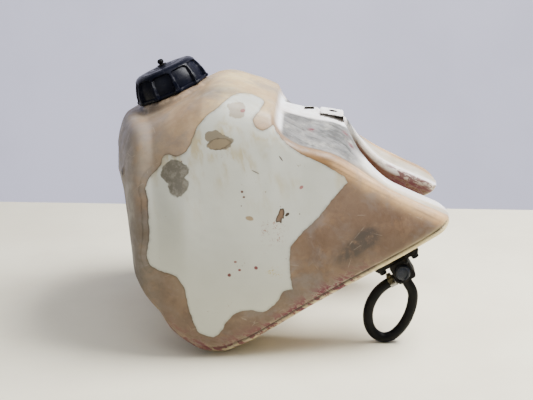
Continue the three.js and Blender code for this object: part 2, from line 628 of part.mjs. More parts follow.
place(model, 'fuel_hose', hose(), RUBBER);
const clampGroup = group(tapFrame.clone()
  .multiply(at(TAP.axisX - TAP.body - 6, -1, -27.5))
  .multiply(turnY(-90))
  .multiply(turnZ(CLAMP_TURN)));
place(clampGroup, 'hose_clamp', clampBand(), STEEL);
place(clampGroup, 'clamp_screw', clampScrew(), BRASS);

export default model;
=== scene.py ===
# Off-road motorcycle fuel tank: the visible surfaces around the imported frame.
# Lengths are millimetres until a piece becomes a Blender object, which is in metres.
import json
import math

import bmesh
import bpy
import numpy as np
from mathutils import Matrix, Vector
from mathutils.bvhtree import BVHTree
from mathutils.geometry import delaunay_2d_cdt


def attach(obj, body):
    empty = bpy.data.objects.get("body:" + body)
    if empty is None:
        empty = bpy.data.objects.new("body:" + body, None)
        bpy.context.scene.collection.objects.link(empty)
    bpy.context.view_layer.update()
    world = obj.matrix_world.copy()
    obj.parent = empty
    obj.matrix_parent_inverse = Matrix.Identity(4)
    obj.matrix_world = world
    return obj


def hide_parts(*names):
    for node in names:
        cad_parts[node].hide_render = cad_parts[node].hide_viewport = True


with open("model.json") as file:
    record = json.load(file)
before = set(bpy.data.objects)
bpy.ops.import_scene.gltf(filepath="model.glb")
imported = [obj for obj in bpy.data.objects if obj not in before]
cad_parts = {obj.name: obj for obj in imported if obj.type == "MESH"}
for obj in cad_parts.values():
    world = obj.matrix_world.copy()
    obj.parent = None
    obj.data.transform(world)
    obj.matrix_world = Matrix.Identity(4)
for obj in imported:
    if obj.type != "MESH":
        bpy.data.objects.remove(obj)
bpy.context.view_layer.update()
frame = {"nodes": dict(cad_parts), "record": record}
MM = 0.001

# ---- camera ---------------------------------------------------------------------------------
CAMERA_TARGET = Vector((-0.020, 0, 0.155))
CAMERA_DISTANCE = 1.3
CAMERA_TURN = math.radians(3)
CAMERA_RISE = math.radians(17)
LENS, SENSOR = 67.54, 36


def make_camera():
    data = bpy.data.cameras.new("camera")
    data.lens = LENS
    data.sensor_width = SENSOR
    camera = bpy.data.objects.new("camera", data)
    back = Vector((
        math.sin(CAMERA_TURN) * math.cos(CAMERA_RISE),
        -math.cos(CAMERA_TURN) * math.cos(CAMERA_RISE),
        math.sin(CAMERA_RISE),
    ))
    camera.location = CAMERA_TARGET + back * CAMERA_DISTANCE
    camera.rotation_euler = (-back).to_track_quat("-Z", "Y").to_euler()
    bpy.context.scene.collection.objects.link(camera)
    bpy.context.scene.camera = camera


make_camera()


# ---- material tools -------------------------------------------------------------------------
class Paint:
    """A material's node tree, built by short calls. Sockets or plain values go in as inputs."""

    def __init__(self, name, colour=None):
        self.colour = colour
        self.material = bpy.data.materials.new(name)
        self.material.use_nodes = True
        self.tree = self.material.node_tree
        self.shader = self.tree.nodes["Principled BSDF"]

    def node(self, kind, inputs=(), **settings):
        made = self.tree.nodes.new(kind)
        for key, value in settings.items():
            setattr(made, key, value)
        for key, value in dict(inputs).items():
            self.put(made.inputs[key], value)
        return made

    def put(self, socket, value):
        if isinstance(value, bpy.types.NodeSocket):
            self.tree.links.new(value, socket)
        elif isinstance(value, tuple) and len(value) == 3 and socket.type == "RGBA":
            socket.default_value = (*value, 1)
        else:
            socket.default_value = value

    def set(self, **inputs):
        """Shader inputs, with _ for a space; the base colour is the colour so far."""
        self.put(self.shader.inputs["Base Color"], self.colour)
        for key, value in inputs.items():
            self.put(self.shader.inputs[key.replace("_", " ")], value)

    def place(self, scale=(1, 1, 1), turn=(0, 0, 0)):
        """Object coordinates in millimetres, turned and then stretched."""
        coordinates = self.node("ShaderNodeTexCoord").outputs["Object"]
        angles = tuple(math.radians(a) for a in turn)
        turned = self.node("ShaderNodeMapping", {"Vector": coordinates, "Rotation": angles})
        stretch = tuple(1000 * s for s in scale)
        return self.node("ShaderNodeMapping", {"Vector": turned.outputs[0], "Scale": stretch}).outputs[0]

    def noise(self, size, detail=4.0, roughness=0.55, warp=0.0, vector=None):
        """Noise whose features are about size millimetres across."""
        vector = self.place() if vector is None else vector
        inputs = {"Vector": vector, "Scale": 1 / size, "Detail": detail, "Roughness": roughness,
                  "Distortion": warp}
        return self.node("ShaderNodeTexNoise", inputs).outputs["Fac"]

    def cells(self, size, vector=None, feature="F1"):
        """Distances inside cells about size millimetres across."""
        vector = self.place() if vector is None else vector
        return self.node("ShaderNodeTexVoronoi", {"Vector": vector, "Scale": 1 / size},
                         feature=feature).outputs["Distance"]

    def steps(self, value, low, high, out_low=0.0, out_high=1.0):
        """A value from low to high carried smoothly to out_low to out_high."""
        inputs = {"Value": value, "From Min": low, "From Max": high, "To Min": out_low, "To Max": out_high}
        return self.node("ShaderNodeMapRange", inputs, interpolation_type="SMOOTHSTEP").outputs[0]

    def math(self, operation, a, b=0.0, c=0.0):
        made = self.node("ShaderNodeMath", operation=operation)
        for socket, value in zip(made.inputs, (a, b, c)):
            self.put(socket, value)
        return made.outputs[0]

    def patches(self, noise, *span):
        """Noise (size, detail, roughness, warp) spread between two of its levels."""
        return self.steps(self.noise(*noise), *span)

    def times(self, *values):
        product = values[0]
        for value in values[1:]:
            product = self.math("MULTIPLY", product, value)
        return product

    def mix(self, share, a, b, blend="MIX"):
        made = self.node("ShaderNodeMix", data_type="RGBA", blend_type=blend)
        self.put(made.inputs[0], share)
        self.put(made.inputs[6], a)
        self.put(made.inputs[7], b)
        return made.outputs[2]

    def over(self, share, tint, blend="MIX"):
        """Lays a tint over the colour so far."""
        self.colour = self.mix(share, self.colour, tint, blend)

    def field(self, name, output="Fac"):
        return self.node("ShaderNodeAttribute", attribute_name=name).outputs[output]

    def bump(self, *layers):
        """Each layer is (height, depth in millimetres)."""
        normal = None
        for height, depth in layers:
            made = self.node("ShaderNodeBump", {"Height": height, "Distance": depth * MM, "Strength": 1.0})
            if normal is not None:
                self.put(made.inputs["Normal"], normal)
            normal = made.outputs[0]
        self.set(Normal=normal)


# ---- mesh tools -----------------------------------------------------------------------------
def move(x, y, z):
    return Matrix.Translation((x, y, z))


def turn(degrees, axis):
    return Matrix.Rotation(math.radians(degrees), 4, axis)


def new_mesh(name, points, faces):
    mesh = bpy.data.meshes.new(name)
    mesh.from_pydata([tuple(p) for p in points], [], [tuple(f) for f in faces])
    mesh.update()
    return mesh


def tidy(mesh, merge=True):
    """Merges points that coincide and turns the faces outwards."""
    bm = bmesh.new()
    bm.from_mesh(mesh)
    if merge:
        bmesh.ops.remove_doubles(bm, verts=bm.verts, dist=0.002)
        bmesh.ops.dissolve_degenerate(bm, edges=bm.edges, dist=0.001)
    bmesh.ops.recalc_face_normals(bm, faces=bm.faces)
    bm.to_mesh(mesh)
    bm.free()
    return mesh


def loft(rings, wrap=False):
    """Closed mesh through rings of equal length; wrap joins the last ring to the first."""
    rings = np.array(rings, float)
    spans, count = rings.shape[:2]
    index = np.arange(spans * count).reshape(spans, count)
    faces = []
    for i in range(spans if wrap else spans - 1):
        a, b = index[i], index[(i + 1) % spans]
        faces += list(zip(a, np.roll(a, -1), np.roll(b, -1), b))
    if not wrap:
        faces += [index[0][::-1], index[-1]]
    return tidy(new_mesh("loft", rings.reshape(-1, 3), faces))


def turned(profile, sides=48):
    """Turned solid round +Z; its [radius, height] pairs end on the axis or close on themselves."""
    angles = np.linspace(0, 2 * math.pi, sides, endpoint=False)
    ring = np.stack([np.cos(angles), np.sin(angles)], 1)
    closed = profile[0] == profile[-1]
    pairs = profile[:-1] if closed else profile
    rings = [np.column_stack([ring * max(r, 1e-4), np.full(sides, h)]) for r, h in pairs]
    return loft(rings, wrap=closed)


def rod(radius, low, high, sides=32, chamfer=0.0):
    if not chamfer:
        return turned([[0, low], [radius, low], [radius, high], [0, high]], sides)
    return turned([[0, low], [radius - chamfer, low], [radius, low + chamfer], [radius, high - chamfer],
                   [radius - chamfer, high], [0, high]], sides)


def prism(outline, low, high):
    """Straight prism over a closed [x, y] outline."""
    outline = np.array(outline, float)
    rings = [np.column_stack([outline, np.full(len(outline), h)]) for h in (low, high)]
    return loft(rings)


def rounded(x0, x1, y0, y1, radius, steps=6):
    """Rounded rectangle outline."""
    outline = []
    for x, y, start in ((x1 - radius, y1 - radius, 0), (x0 + radius, y1 - radius, 90),
                        (x0 + radius, y0 + radius, 180), (x1 - radius, y0 + radius, 270)):
        for angle in np.radians(np.linspace(start, start + 90, steps)):
            outline.append([x + radius * math.cos(angle), y + radius * math.sin(angle)])
    return outline


def block(x0, x1, y0, y1, z0, z1):
    return prism([[x0, y0], [x1, y0], [x1, y1], [x0, y1]], z0, z1)


def placed(mesh, matrix):
    mesh.transform(matrix)
    return mesh


def joined(*meshes):
    bm = bmesh.new()
    for mesh in meshes:
        bm.from_mesh(mesh)
    out = bpy.data.meshes.new("joined")
    bm.to_mesh(out)
    bm.free()
    return out


def modified(mesh, kind, **settings):
    """The mesh after one modifier, applied."""
    holder = bpy.data.objects.new("holder", mesh)
    bpy.context.scene.collection.objects.link(holder)
    modifier = holder.modifiers.new(kind, kind)
    for key, value in settings.items():
        setattr(modifier, key, value)
    view = bpy.context.evaluated_depsgraph_get()
    view.update()
    out = bpy.data.meshes.new_from_object(holder.evaluated_get(view))
    bpy.data.objects.remove(holder)
    return out


def boolean(mesh, operation, other):
    """The mesh united with, cut by or kept inside the other, both closed."""
    tool = bpy.data.objects.new("tool", other)
    bpy.context.scene.collection.objects.link(tool)
    out = modified(mesh, "BOOLEAN", operation=operation, object=tool, solver="MANIFOLD")
    bpy.data.objects.remove(tool)
    return out


def union(first, *others):
    for other in others:
        first = boolean(first, "UNION", other)
    return first


def cut(first, *others):
    for other in others:
        first = boolean(first, "DIFFERENCE", other)
    return first


def bevelled(mesh, width, segments=2):
    """Rounds every edge sharper than 35 degrees."""
    return modified(mesh, "BEVEL", width=width, segments=segments, angle_limit=math.radians(35),
                    limit_method="ANGLE")


def piece(name, mesh, matrix, body, slot, replaces, sharp=32):
    """A finished piece: millimetres to metres, smooth but for its sharp edges, riding on a body."""
    mesh.transform(Matrix.Scale(MM, 4) @ matrix)
    mesh.name = name
    mesh.materials.clear()
    mesh.materials.append(MATERIALS[slot])
    mesh.shade_smooth()
    mesh.set_sharp_from_angle(angle=math.radians(sharp))
    made = bpy.data.objects.new(name, mesh)
    bpy.context.scene.collection.objects.link(made)
    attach(made, body)
    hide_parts(*replaces)
    return made


# ---- tank body: the same guide curves as the CAD ----------------------------------------------
NOSE_X, FOREMOST_Z, TAIL_X = -213, 214, 206
NOSE_DEPTH, TAIL_DEPTH = 22, 14
NOSE_SQUARENESS = 3
BULGE, BULGE_HALF_WIDTH, BULGE_SOFTNESS = 42, 140, 40
LEAN_ABOVE, LEAN_BELOW = 0.16, 0.2
SLOT_START_X, SLOT_ROUND, SLOT_HALF_WIDTH, LOBE_CORE = 77, 18, 42, 16
WALL = 4

SPINE = [
    (-185, 0, 275.5), (-94, 0, 312), (-72, 0, 317), (-58, 0, 315.5), (-44, 0, 311.5), (-12, 0, 299.5),
    (-7, 0, 297), (-2, 0, 284), (4, 0, 281), (26, 0, 278), (57, 0, 272), (77, 0, 265), (84, 0, 256),
    (101, 0, 231), (118, 0, 212), (133, 0, 200), (164, 0, 185), (190, 0, 173), (206, 0, 164),
]
PLATEAU = [
    (-185, 50, 274.5), (-94, 58, 309.5), (-72, 58, 314.5), (-58, 58, 313), (-44, 58, 309), (-12, 58, 297),
    (-7, 50, 295), (-2, 30, 282), (26, 30, 274), (57, 30, 268), (77, 40, 259), (90, 57, 240),
    (101, 64, 225), (118, 70, 206), (133, 72, 194), (164, 73, 179), (190, 72, 169.5), (206, 70, 163),
]
RIDGE = [
    (-185, 104, 269), (-150, 114, 283), (-110, 118, 298), (-72, 117, 306.5), (-42, 114, 300),
    (-9, 110, 289), (-5, 111, 280), (2, 112, 268), (12, 112, 259), (27, 111, 251), (46, 110, 246),
    (60, 109, 242), (90, 108, 226), (119, 108, 210.5), (149, 107, 196), (178, 106, 182), (206, 100, 166),
]
FLANK = [
    (-185, 152, 160), (-120, 166, 134), (-60, 165, 112), (0, 157, 108), (60, 144, 124), (120, 130, 146),
    (170, 119, 160), (206, 107, 162.5),
]
KEEL_OUT = [
    (-209, 145, 76), (-197, 147, 62), (-185, 148, 48), (-160, 149, 27), (-125, 149, 12), (-90, 147, 1.5),
    (-68, 145, -0.9), (-50, 143, 5), (27, 138, 51), (87, 132, 87), (146, 124, 121), (190, 113, 147),
    (206, 104, 157),
]
KEEL_IN = [
    (-209, 100, 92), (-197, 99, 80), (-185, 97, 66), (-160, 85, 34), (-125, 76, 15), (-68, 70, 1.2),
    (-50, 69, 7), (27, 63, 54), (87, 57, 90), (146, 51, 124), (190, 46, 149), (206, 44, 157.5),
]
ARCH = [
    (-185, 62, 176), (-150, 49, 194), (-60, 45, 202), (40, 44.5, 203), (77, 44, 184), (95, 43.5, 150),
    (120, 43, 150), (150, 42.8, 152), (190, 42.7, 160), (206, 42.7, 160),
]
ROOF = [
    (-185, 0, 198), (-150, 0, 214), (-60, 0, 226), (40, 0, 222), (77, 0, 210), (95, 0, 192),
    (120, 0, 176), (150, 0, 170), (190, 0, 166), (206, 0, 161.5),
]
GUIDES = [SPINE, PLATEAU, RIDGE, FLANK, KEEL_OUT, KEEL_IN, ARCH, ROOF]
ROUND_DECK = np.array([0.4, 30, 44, 54, 28, 18, 22, 0.4])
ROUND_SADDLE = np.array([0.4, 18, 13, 54, 28, 18, 22, 0.4])
ROUND_TAIL = np.array([9, 16, 13, 30, 20, 12, 8, 8])
WALL_REACH = [1, 1.05, 1.35, 1.05, 1.45, 1.45, 1.25, 1]


def along(guide, x):
    """Monotone cubic through the guide's points: a row of y and z for each x."""
    g = np.array(guide, float)
    x = np.clip(np.atleast_1d(np.asarray(x, float)), g[0, 0], g[-1, 0])
    step = np.diff(g[:, 0])
    slope = np.diff(g[:, 1:], axis=0) / step[:, None]
    product, total = slope[:-1] * slope[1:], slope[:-1] + slope[1:]
    inner = np.where(product > 0, 2 * product / np.where(total == 0, 1, total), 0)
    tangent = np.vstack([slope[:1], inner, slope[-1:]])
    i = np.clip(np.searchsorted(g[:, 0], x, side="right") - 1, 0, len(step) - 1)
    t, h = ((x - g[i, 0]) / step[i])[:, None], step[i][:, None]
    rise = 3 * t ** 2 - 2 * t ** 3
    return ((1 - rise) * g[i, 1:] + rise * g[i + 1, 1:] + (t ** 3 - 2 * t ** 2 + t) * h * tangent[i]
            + (t ** 3 - t ** 2) * h * tangent[i + 1])


def slot_half_width(x, wall=0.0):
    """Half the width of the round-ended slot between the lobes; below 0 ahead of it."""
    ahead = SLOT_START_X + SLOT_ROUND - (x + wall)
    if ahead >= SLOT_ROUND:
        return -0.5
    return wall + SLOT_HALF_WIDTH * math.sqrt(1 - (max(ahead, 0) / SLOT_ROUND) ** 2)


def section(x, inset):
    """The eight corners of the half section at x, and the points on its middle line facing them."""
    corners = np.array([along(guide, x)[0] for guide in GUIDES])
    corners[[0, 7], 0] = slot_half_width(x)
    shoulder = (corners[2] + corners[6]) / 2
    top = (corners[0] + corners[7]) / 2
    if x > SLOT_START_X:
        top[0] += LOBE_CORE * np.clip((x - SLOT_START_X) / SLOT_ROUND, 0, 1)
    foot = (corners[4] + corners[5]) / 2 * 0.78 + shoulder * 0.22
    upper, lower = (top + shoulder) / 2, shoulder * 0.45 + foot * 0.55
    middle = np.array([top, upper, shoulder, lower, foot, foot, shoulder, top])
    if inset:
        for i, corner in enumerate(corners):
            inward = middle[i] - corner
            length = np.linalg.norm(inward)
            corner += inward / length * min(inset * WALL_REACH[i], length * 0.9)
        edge = slot_half_width(x, max(inset, 0))
        corners[[0, 7], 0] = edge
        corners[[1, 6], 0] = np.maximum(corners[[1, 6], 0], edge + 1)
    return corners, middle


def rounding(x):
    """How far each corner's rounding reaches at x: deck, saddle and tail blend into each other."""
    deck = np.clip((-2 - x) / 7, 0, 1)
    tail = np.clip((x - SLOT_START_X) / SLOT_ROUND, 0, 1)
    front = ROUND_SADDLE * (1 - deck) + ROUND_DECK * deck
    return front * (1 - tail) + ROUND_TAIL * tail


def ring(x, collapse, inset, per_corner):
    """The half section at x as points, pulled towards its middle line by collapse."""
    corners, middle = section(x, inset)
    pulled = corners * (1 - collapse) + middle * collapse
    t = np.linspace(0, 1, per_corner)[:, None]
    points = []
    for i, reach in enumerate(rounding(x)):
        ends = []
        for other in (pulled[i - 1], pulled[(i + 1) % 8]):
            away = other - pulled[i]
            length = max(np.linalg.norm(away), 1e-6)
            ends.append(pulled[i] + away / length * min(reach, length * 0.46))
        points.append((1 - t) ** 2 * ends[0] + 2 * t * (1 - t) * pulled[i] + t ** 2 * ends[1])
    return np.vstack(points)


def bow_share(y):
    """Grows with the distance from the middle, softly at first."""
    return np.hypot(1, y / BULGE_SOFTNESS) - 1


def front_bend(x, y, z):
    """How far the bowed, leaning front moves a point of the section at x towards the tail."""
    share = np.clip((-90 - x) / 95, 0, 1)
    bow = BULGE * bow_share(y) / bow_share(BULGE_HALF_WIDTH)
    below = np.maximum(FOREMOST_Z - z, 0) * np.maximum(1 - np.abs(y) / 150, 0)
    return share * (bow + LEAN_ABOVE * np.maximum(z - FOREMOST_Z, 0) + LEAN_BELOW * below)


def bent(points, x):
    """A flat section's points carried back with the bowed front."""
    y, z = points[:, 0], points[:, 1]
    return np.column_stack([x + front_bend(x, y, z), y, z])


def tank_half(inset, front, rear, pitch, per_corner):
    """Closed left half: a rounded nose, the long body and a rounded tail."""
    rings = []
    for sine in (1, 0.985, 0.95, 0.89, 0.8, 0.7, 0.58, 0.45, 0.3, 0.15):
        x = front + NOSE_DEPTH * (1 - sine)
        collapse = 0.94 if sine == 1 else 1 - (1 - sine ** NOSE_SQUARENESS) ** (1 / NOSE_SQUARENESS)
        rings.append(bent(ring(x, min(collapse, 0.94), inset, per_corner), x))
    first, last = front + NOSE_DEPTH + 2, rear - TAIL_DEPTH - 2
    for x in np.linspace(first, last, round((last - first) / pitch)):
        rings.append(bent(ring(x, 0, inset, per_corner), x))
    for sine in (0.15, 0.35, 0.55, 0.7, 0.82, 0.92, 0.975, 1):
        x = rear - TAIL_DEPTH * (1 - sine)
        collapse = 0.9 if sine == 1 else 1 - math.sqrt(1 - sine ** 2)
        rings.append(bent(ring(x, min(collapse, 0.9), inset, per_corner), x))
    return loft(rings)


def both_halves(*sizes):
    """The half and its mirror image, which overlap on the middle plane."""
    half = tank_half(*sizes)
    other = half.copy()
    other.transform(Matrix.Scale(-1, 4, (0, 1, 0)))
    other.flip_normals()
    return joined(half, other)


def coordinates(mesh):
    flat = np.empty(len(mesh.vertices) * 3, np.float32)
    mesh.vertices.foreach_get("co", flat)
    return flat.reshape(-1, 3).astype(float)


def normals(mesh):
    flat = np.empty(len(mesh.vertices) * 3, np.float32)
    mesh.vertex_normals.foreach_get("vector", flat)
    return flat.reshape(-1, 3).astype(float)


def put_coordinates(mesh, points):
    mesh.vertices.foreach_set("co", points.astype(np.float32).ravel())
    mesh.update()


def smoothed(mesh, rounds):
    """Evens out the voxel steps without shrinking the body."""
    edges = np.empty(len(mesh.edges) * 2, np.int32)
    mesh.edges.foreach_get("vertices", edges)
    a, b = edges.reshape(-1, 2).T
    points = coordinates(mesh)
    count = len(points)
    degree = np.bincount(a, minlength=count) + np.bincount(b, minlength=count)
    for _ in range(rounds):
        for share in (0.55, -0.57):
            total = np.stack([np.bincount(a, points[b, k], count) + np.bincount(b, points[a, k], count)
                              for k in range(3)], 1)
            points += share * (total / degree[:, None] - points)
    put_coordinates(mesh, points)
    return mesh


def fade(value, low, high):
    """0 below low, 1 above high and smooth in between."""
    t = np.clip((value - low) / (high - low), 0, 1)
    return t * t * (3 - 2 * t)


def hump(value, centre, width):
    """1 at the centre, falling off smoothly to either side."""
    return np.exp(-((value - centre) / width) ** 2)


def waves(points, size, seed):
    """Smooth unevenness: a few fixed sine waves in mixed directions, about -1 to 1."""
    generator = np.random.default_rng(seed)
    total = np.zeros(len(points))
    for _ in range(7):
        direction = generator.normal(size=3)
        direction *= 2 * math.pi / size / np.linalg.norm(direction) * generator.uniform(0.6, 1.5)
        total += np.sin(points @ direction + generator.uniform(0, 6.28))
    return total / 3.5


class Places:
    """Where each point of the tank lies, measured from the guide curves."""

    def __init__(self, points):
        self.x, self.z = points[:, 0], points[:, 2]
        self.side = points[:, 1]
        self.y = np.abs(points[:, 1])
        first = KEEL_OUT[0][0]
        stations = np.linspace(first, TAIL_X, 416)
        self.along_x = np.clip(self.x - front_bend(self.x, self.y, self.z), first, TAIL_X)
        guide = {name: along(g, stations) for name, g in
                 zip(("spine", "plateau", "ridge", "flank", "keel", "keel_in", "arch"), GUIDES)}
        self.guide = {name: np.stack([np.interp(self.along_x, stations, rows[:, k]) for k in (0, 1)], 1)
                      for name, rows in guide.items()}
        ridge, keel = self.guide["ridge"], self.guide["keel"]
        self.from_ridge = np.hypot(self.y - ridge[:, 0], self.z - ridge[:, 1])
        self.below_ridge = ridge[:, 1] - self.z
        self.above_keel = self.z - keel[:, 1]
        self.outside = self.y - ridge[:, 0]
        self.groove_height = 12.5 - 4 * fade(self.along_x, 60, 200)


NECK = {"x": -138, "z": 298.5, "tilt": 23, "bore": 26, "outer": 31}
neck_frame = move(NECK["x"], 0, NECK["z"]) @ turn(-NECK["tilt"], "Y")
tap_frame = move(140, -92, 115) @ turn(-31, "Y")
tab_frame = move(64, 0, 274) @ turn(9, "Y")
SEAT_X, SEAT_TOP = 34, 277.5
INSERT = {"x": -189.3, "y": 93, "z": 215, "turn": 18}
TAP_BOLT = 22
THREAD_TURNS, THREAD_PITCH, THREAD_SIDES = 1.5, 6, 48
VOXEL = 1.7


def insert_frame(side):
    """+Z runs into the tank from the insert's face."""
    return (move(INSERT["x"], side * INSERT["y"], INSERT["z"]) @ turn(-side * INSERT["turn"], "Z")
            @ turn(90, "Y"))


def flange(middle, end, pitch, steps=14):
    """Two-bolt flange outline: a big circle with a small one at each bolt."""
    lean = math.acos((middle - end) / pitch)
    spans = [(pitch, end, -lean, lean), (0, middle, lean, math.pi - lean),
             (-pitch, end, math.pi - lean, math.pi + lean), (0, middle, math.pi + lean, 2 * math.pi - lean)]
    outline = []
    for x, radius, start, stop in spans:
        for angle in np.linspace(start, stop, steps, endpoint=False):
            outline.append([x + radius * math.cos(angle), radius * math.sin(angle)])
    return outline


def thread(root, crest, low):
    """Helical ridge from root to crest radius, starting at low and tapered at both ends."""
    rings = []
    steps = round(THREAD_SIDES * THREAD_TURNS)
    for i in range(steps + 1):
        angle, z = 2 * math.pi * i / THREAD_SIDES, low + THREAD_PITCH * i / THREAD_SIDES
        fullness = min(1, i / 8, (steps - i) / 8) * 0.9 + 0.1
        tip = root + (crest - root) * fullness
        corners = [(root, -1.2), (tip, -0.5), (tip, 0.5), (root, 1.2)]
        rings.append([(r * math.cos(angle), r * math.sin(angle), z + h) for r, h in corners])
    return loft(rings)


def shell_body():
    """Outer surface of the tank as one even mesh, with its moulded details."""
    outer = both_halves(0, NOSE_X, TAIL_X, 2.5, 9)
    radius = NECK["outer"]
    collar = turned([[0, -14], [54, -14], [50, -5], [46.5, -2], [44.5, -1], [33, -1], [radius, 1],
                     [radius, 10], [0, 10]])
    tab = placed(bevelled(block(-16, 14, -17, 17, -9, 0), 2, 3), tab_frame)
    seat = placed(rod(12, -20, 0, chamfer=0.6), move(SEAT_X, 0, SEAT_TOP))
    pad = placed(prism(flange(16, 10, TAP_BOLT), 0, 12), tap_frame)
    faces = [placed(rod(6.5, 0.2, 20), insert_frame(side)) for side in (-1, 1)]
    mesh = modified(joined(outer, placed(collar, neck_frame), tab, seat, pad, *faces), "REMESH",
                    mode="VOXEL", voxel_size=VOXEL, adaptivity=0)
    smoothed(mesh, 8)
    points, out = coordinates(mesh), normals(mesh)
    p = Places(points)
    behind_step = fade(p.x, -12, 4)
    outer_side = fade(p.outside, -14, -4)
    # The ridge carries a raised moulding bead with a shallow groove on its inner side.
    lift = 1.1 * hump(p.from_ridge, 2, 5) * behind_step
    lift -= 0.9 * hump(p.y, p.guide["ridge"][:, 0] - 11, 1.8) * fade(-p.below_ridge, -8, -2) * behind_step
    # A groove and a lip run along the whole lower edge of the flank.
    flank_face = fade(out[:, 1] * np.sign(p.side), 0.1, 0.5) * fade(p.above_keel, -4, 2)
    lower = fade(p.along_x, -120, -60)
    lift -= 1.8 * hump(p.above_keel, p.groove_height, 1.5) * flank_face * lower
    lift += 1.4 * hump(p.above_keel, p.groove_height - 5, 3.5) * flank_face * lower
    # Years of use leave the walls slightly wavy.
    lift += 0.5 * waves(points, 130, 3) * outer_side + 0.12 * waves(points, 26, 5)
    flat = hump(p.x, 64, 26) * (p.y < 30) + hump(p.x, SEAT_X, 14) * (p.y < 16)
    in_neck = np.linalg.norm(points - np.array(neck_frame.translation), axis=1) < 52
    lift *= (1 - np.clip(flat, 0, 1)) * ~in_neck * (p.z > 6)
    put_coordinates(mesh, points + out * lift[:, None])
    return mesh


def vertex_field(mesh, name, values):
    """Stores a number or a colour for each point, which the materials read by name."""
    if values.ndim == 2:
        layer = mesh.attributes.new(name, "FLOAT_COLOR", "POINT")
        opaque = np.column_stack([values, np.ones(len(values))])
        layer.data.foreach_set("color", opaque.astype(np.float32).ravel())
    else:
        layer = mesh.attributes.new(name, "FLOAT", "POINT")
        layer.data.foreach_set("value", values.astype(np.float32))


def blend(base, colour, share):
    """Rows of colours mixed with one colour by a share for each row."""
    return base * (1 - share[:, None]) + np.array(colour) * share[:, None]


# ---- side graphic -----------------------------------------------------------------------------
# Torn outline of the vinyl, seen square on from the left and 25 degrees above: [x, height].
GRAPHIC_RISE = math.radians(25)
GRAPHIC = [
    (-135, 166), (-130, 171), (-117, 168), (-107, 172), (-100, 183), (-93, 201), (-82, 215), (-70, 225),
    (-61, 236), (-53, 246), (-43, 252), (-30, 250), (-20, 243), (-22, 228), (-29, 216), (-30, 211),
    (-27, 203), (-19, 200), (-11, 204), (-7, 208), (-3, 200), (7, 188), (23, 177), (53, 164), (77, 151),
    (81, 145), (68, 130), (46, 102), (29, 85), (15, 68), (15, 41), (18, 20), (8, 17), (-1, 4), (-15, -6),
    (-31, -5), (-48, -9), (-60, -20), (-65, -29), (-75, -37), (-91, -33), (-98, -22), (-103, -6),
    (-106, 9), (-108, 18), (-113, 27), (-120, 33), (-133, 37), (-147, 43), (-152, 55), (-149, 78),
    (-150, 101), (-151, 118), (-154, 134), (-149, 146), (-137, 158),
]
CORNERS = {24, 25, 29, 31}  # outline points that stay sharp
FILM_GAP, FILM_TOP, EDGE_CURL, FILM_PITCH = 0.08, 0.42, 0.1, 2.6


def graphic_height(points):
    """Height on the graphic's own tilted plane."""
    return points[:, 1] * math.sin(GRAPHIC_RISE) + points[:, 2] * math.cos(GRAPHIC_RISE)


def torn_outline():
    """The outline rounded between its points, with a fine ragged edge."""
    generator = np.random.default_rng(11)
    points = np.array(GRAPHIC, float)
    count = len(points)
    line = []
    for i in range(count):
        p0, p1, p2, p3 = points[i - 1], points[i], points[(i + 1) % count], points[(i + 2) % count]
        if i in CORNERS:
            p0 = p1 - (p2 - p1)
        if (i + 1) % count in CORNERS:
            p3 = p2 + (p2 - p1)
        steps = max(2, round(np.linalg.norm(p2 - p1) / 1.6))
        for t in np.linspace(0, 1, steps, endpoint=False):
            line.append(0.5 * (2 * p1 + (p2 - p0) * t + (2 * p0 - 5 * p1 + 4 * p2 - p3) * t ** 2
                               + (3 * p1 - p0 - 3 * p2 + p3) * t ** 3))
    line = np.array(line)
    ragged = generator.normal(size=line.shape)
    ragged = (ragged + np.roll(ragged, 1, 0) + np.roll(ragged, -1, 0)) / 3
    return line + 0.45 * ragged


def inside(points, outline):
    """Which points lie inside a closed outline, by counting crossings."""
    a, b = outline, np.roll(outline, -1, 0)
    odd = np.zeros(len(points), bool)
    for (x1, y1), (x2, y2) in zip(a, b):
        if y1 == y2:
            continue
        crosses = (y1 > points[:, 1]) != (y2 > points[:, 1])
        odd ^= crosses & (points[:, 0] < (x2 - x1) * (points[:, 1] - y1) / (y2 - y1) + x1)
    return odd


def edge_distance(points, outline):
    """Distance from each point to the nearest side of a closed outline."""
    best = np.full(len(points), 1e9)
    for a, b in zip(outline, np.roll(outline, -1, 0)):
        run = b - a
        t = np.clip(((points - a) @ run) / max(run @ run, 1e-9), 0, 1)
        best = np.minimum(best, np.hypot(*(points - a - t[:, None] * run).T))
    return best


# Places where the vinyl has come off: [x, height, half length, half width, turn in degrees].
CHIPS = [(4, 103, 9.5, 4.4, 75), (11, 105, 2.6, 1.6, 40)]


def chip_outline(x, height, long, short, angle, seed):
    """Ragged oval round a place where the vinyl has chipped off."""
    generator = np.random.default_rng(seed)
    angles = np.linspace(0, 2 * math.pi, 18, endpoint=False)
    radius = 1 + 0.22 * generator.normal(size=18)
    c, s = math.cos(math.radians(angle)), math.sin(math.radians(angle))
    u, v = long * radius * np.cos(angles), short * radius * np.sin(angles)
    return np.column_stack([x + c * u - s * v, height + s * u + c * v])


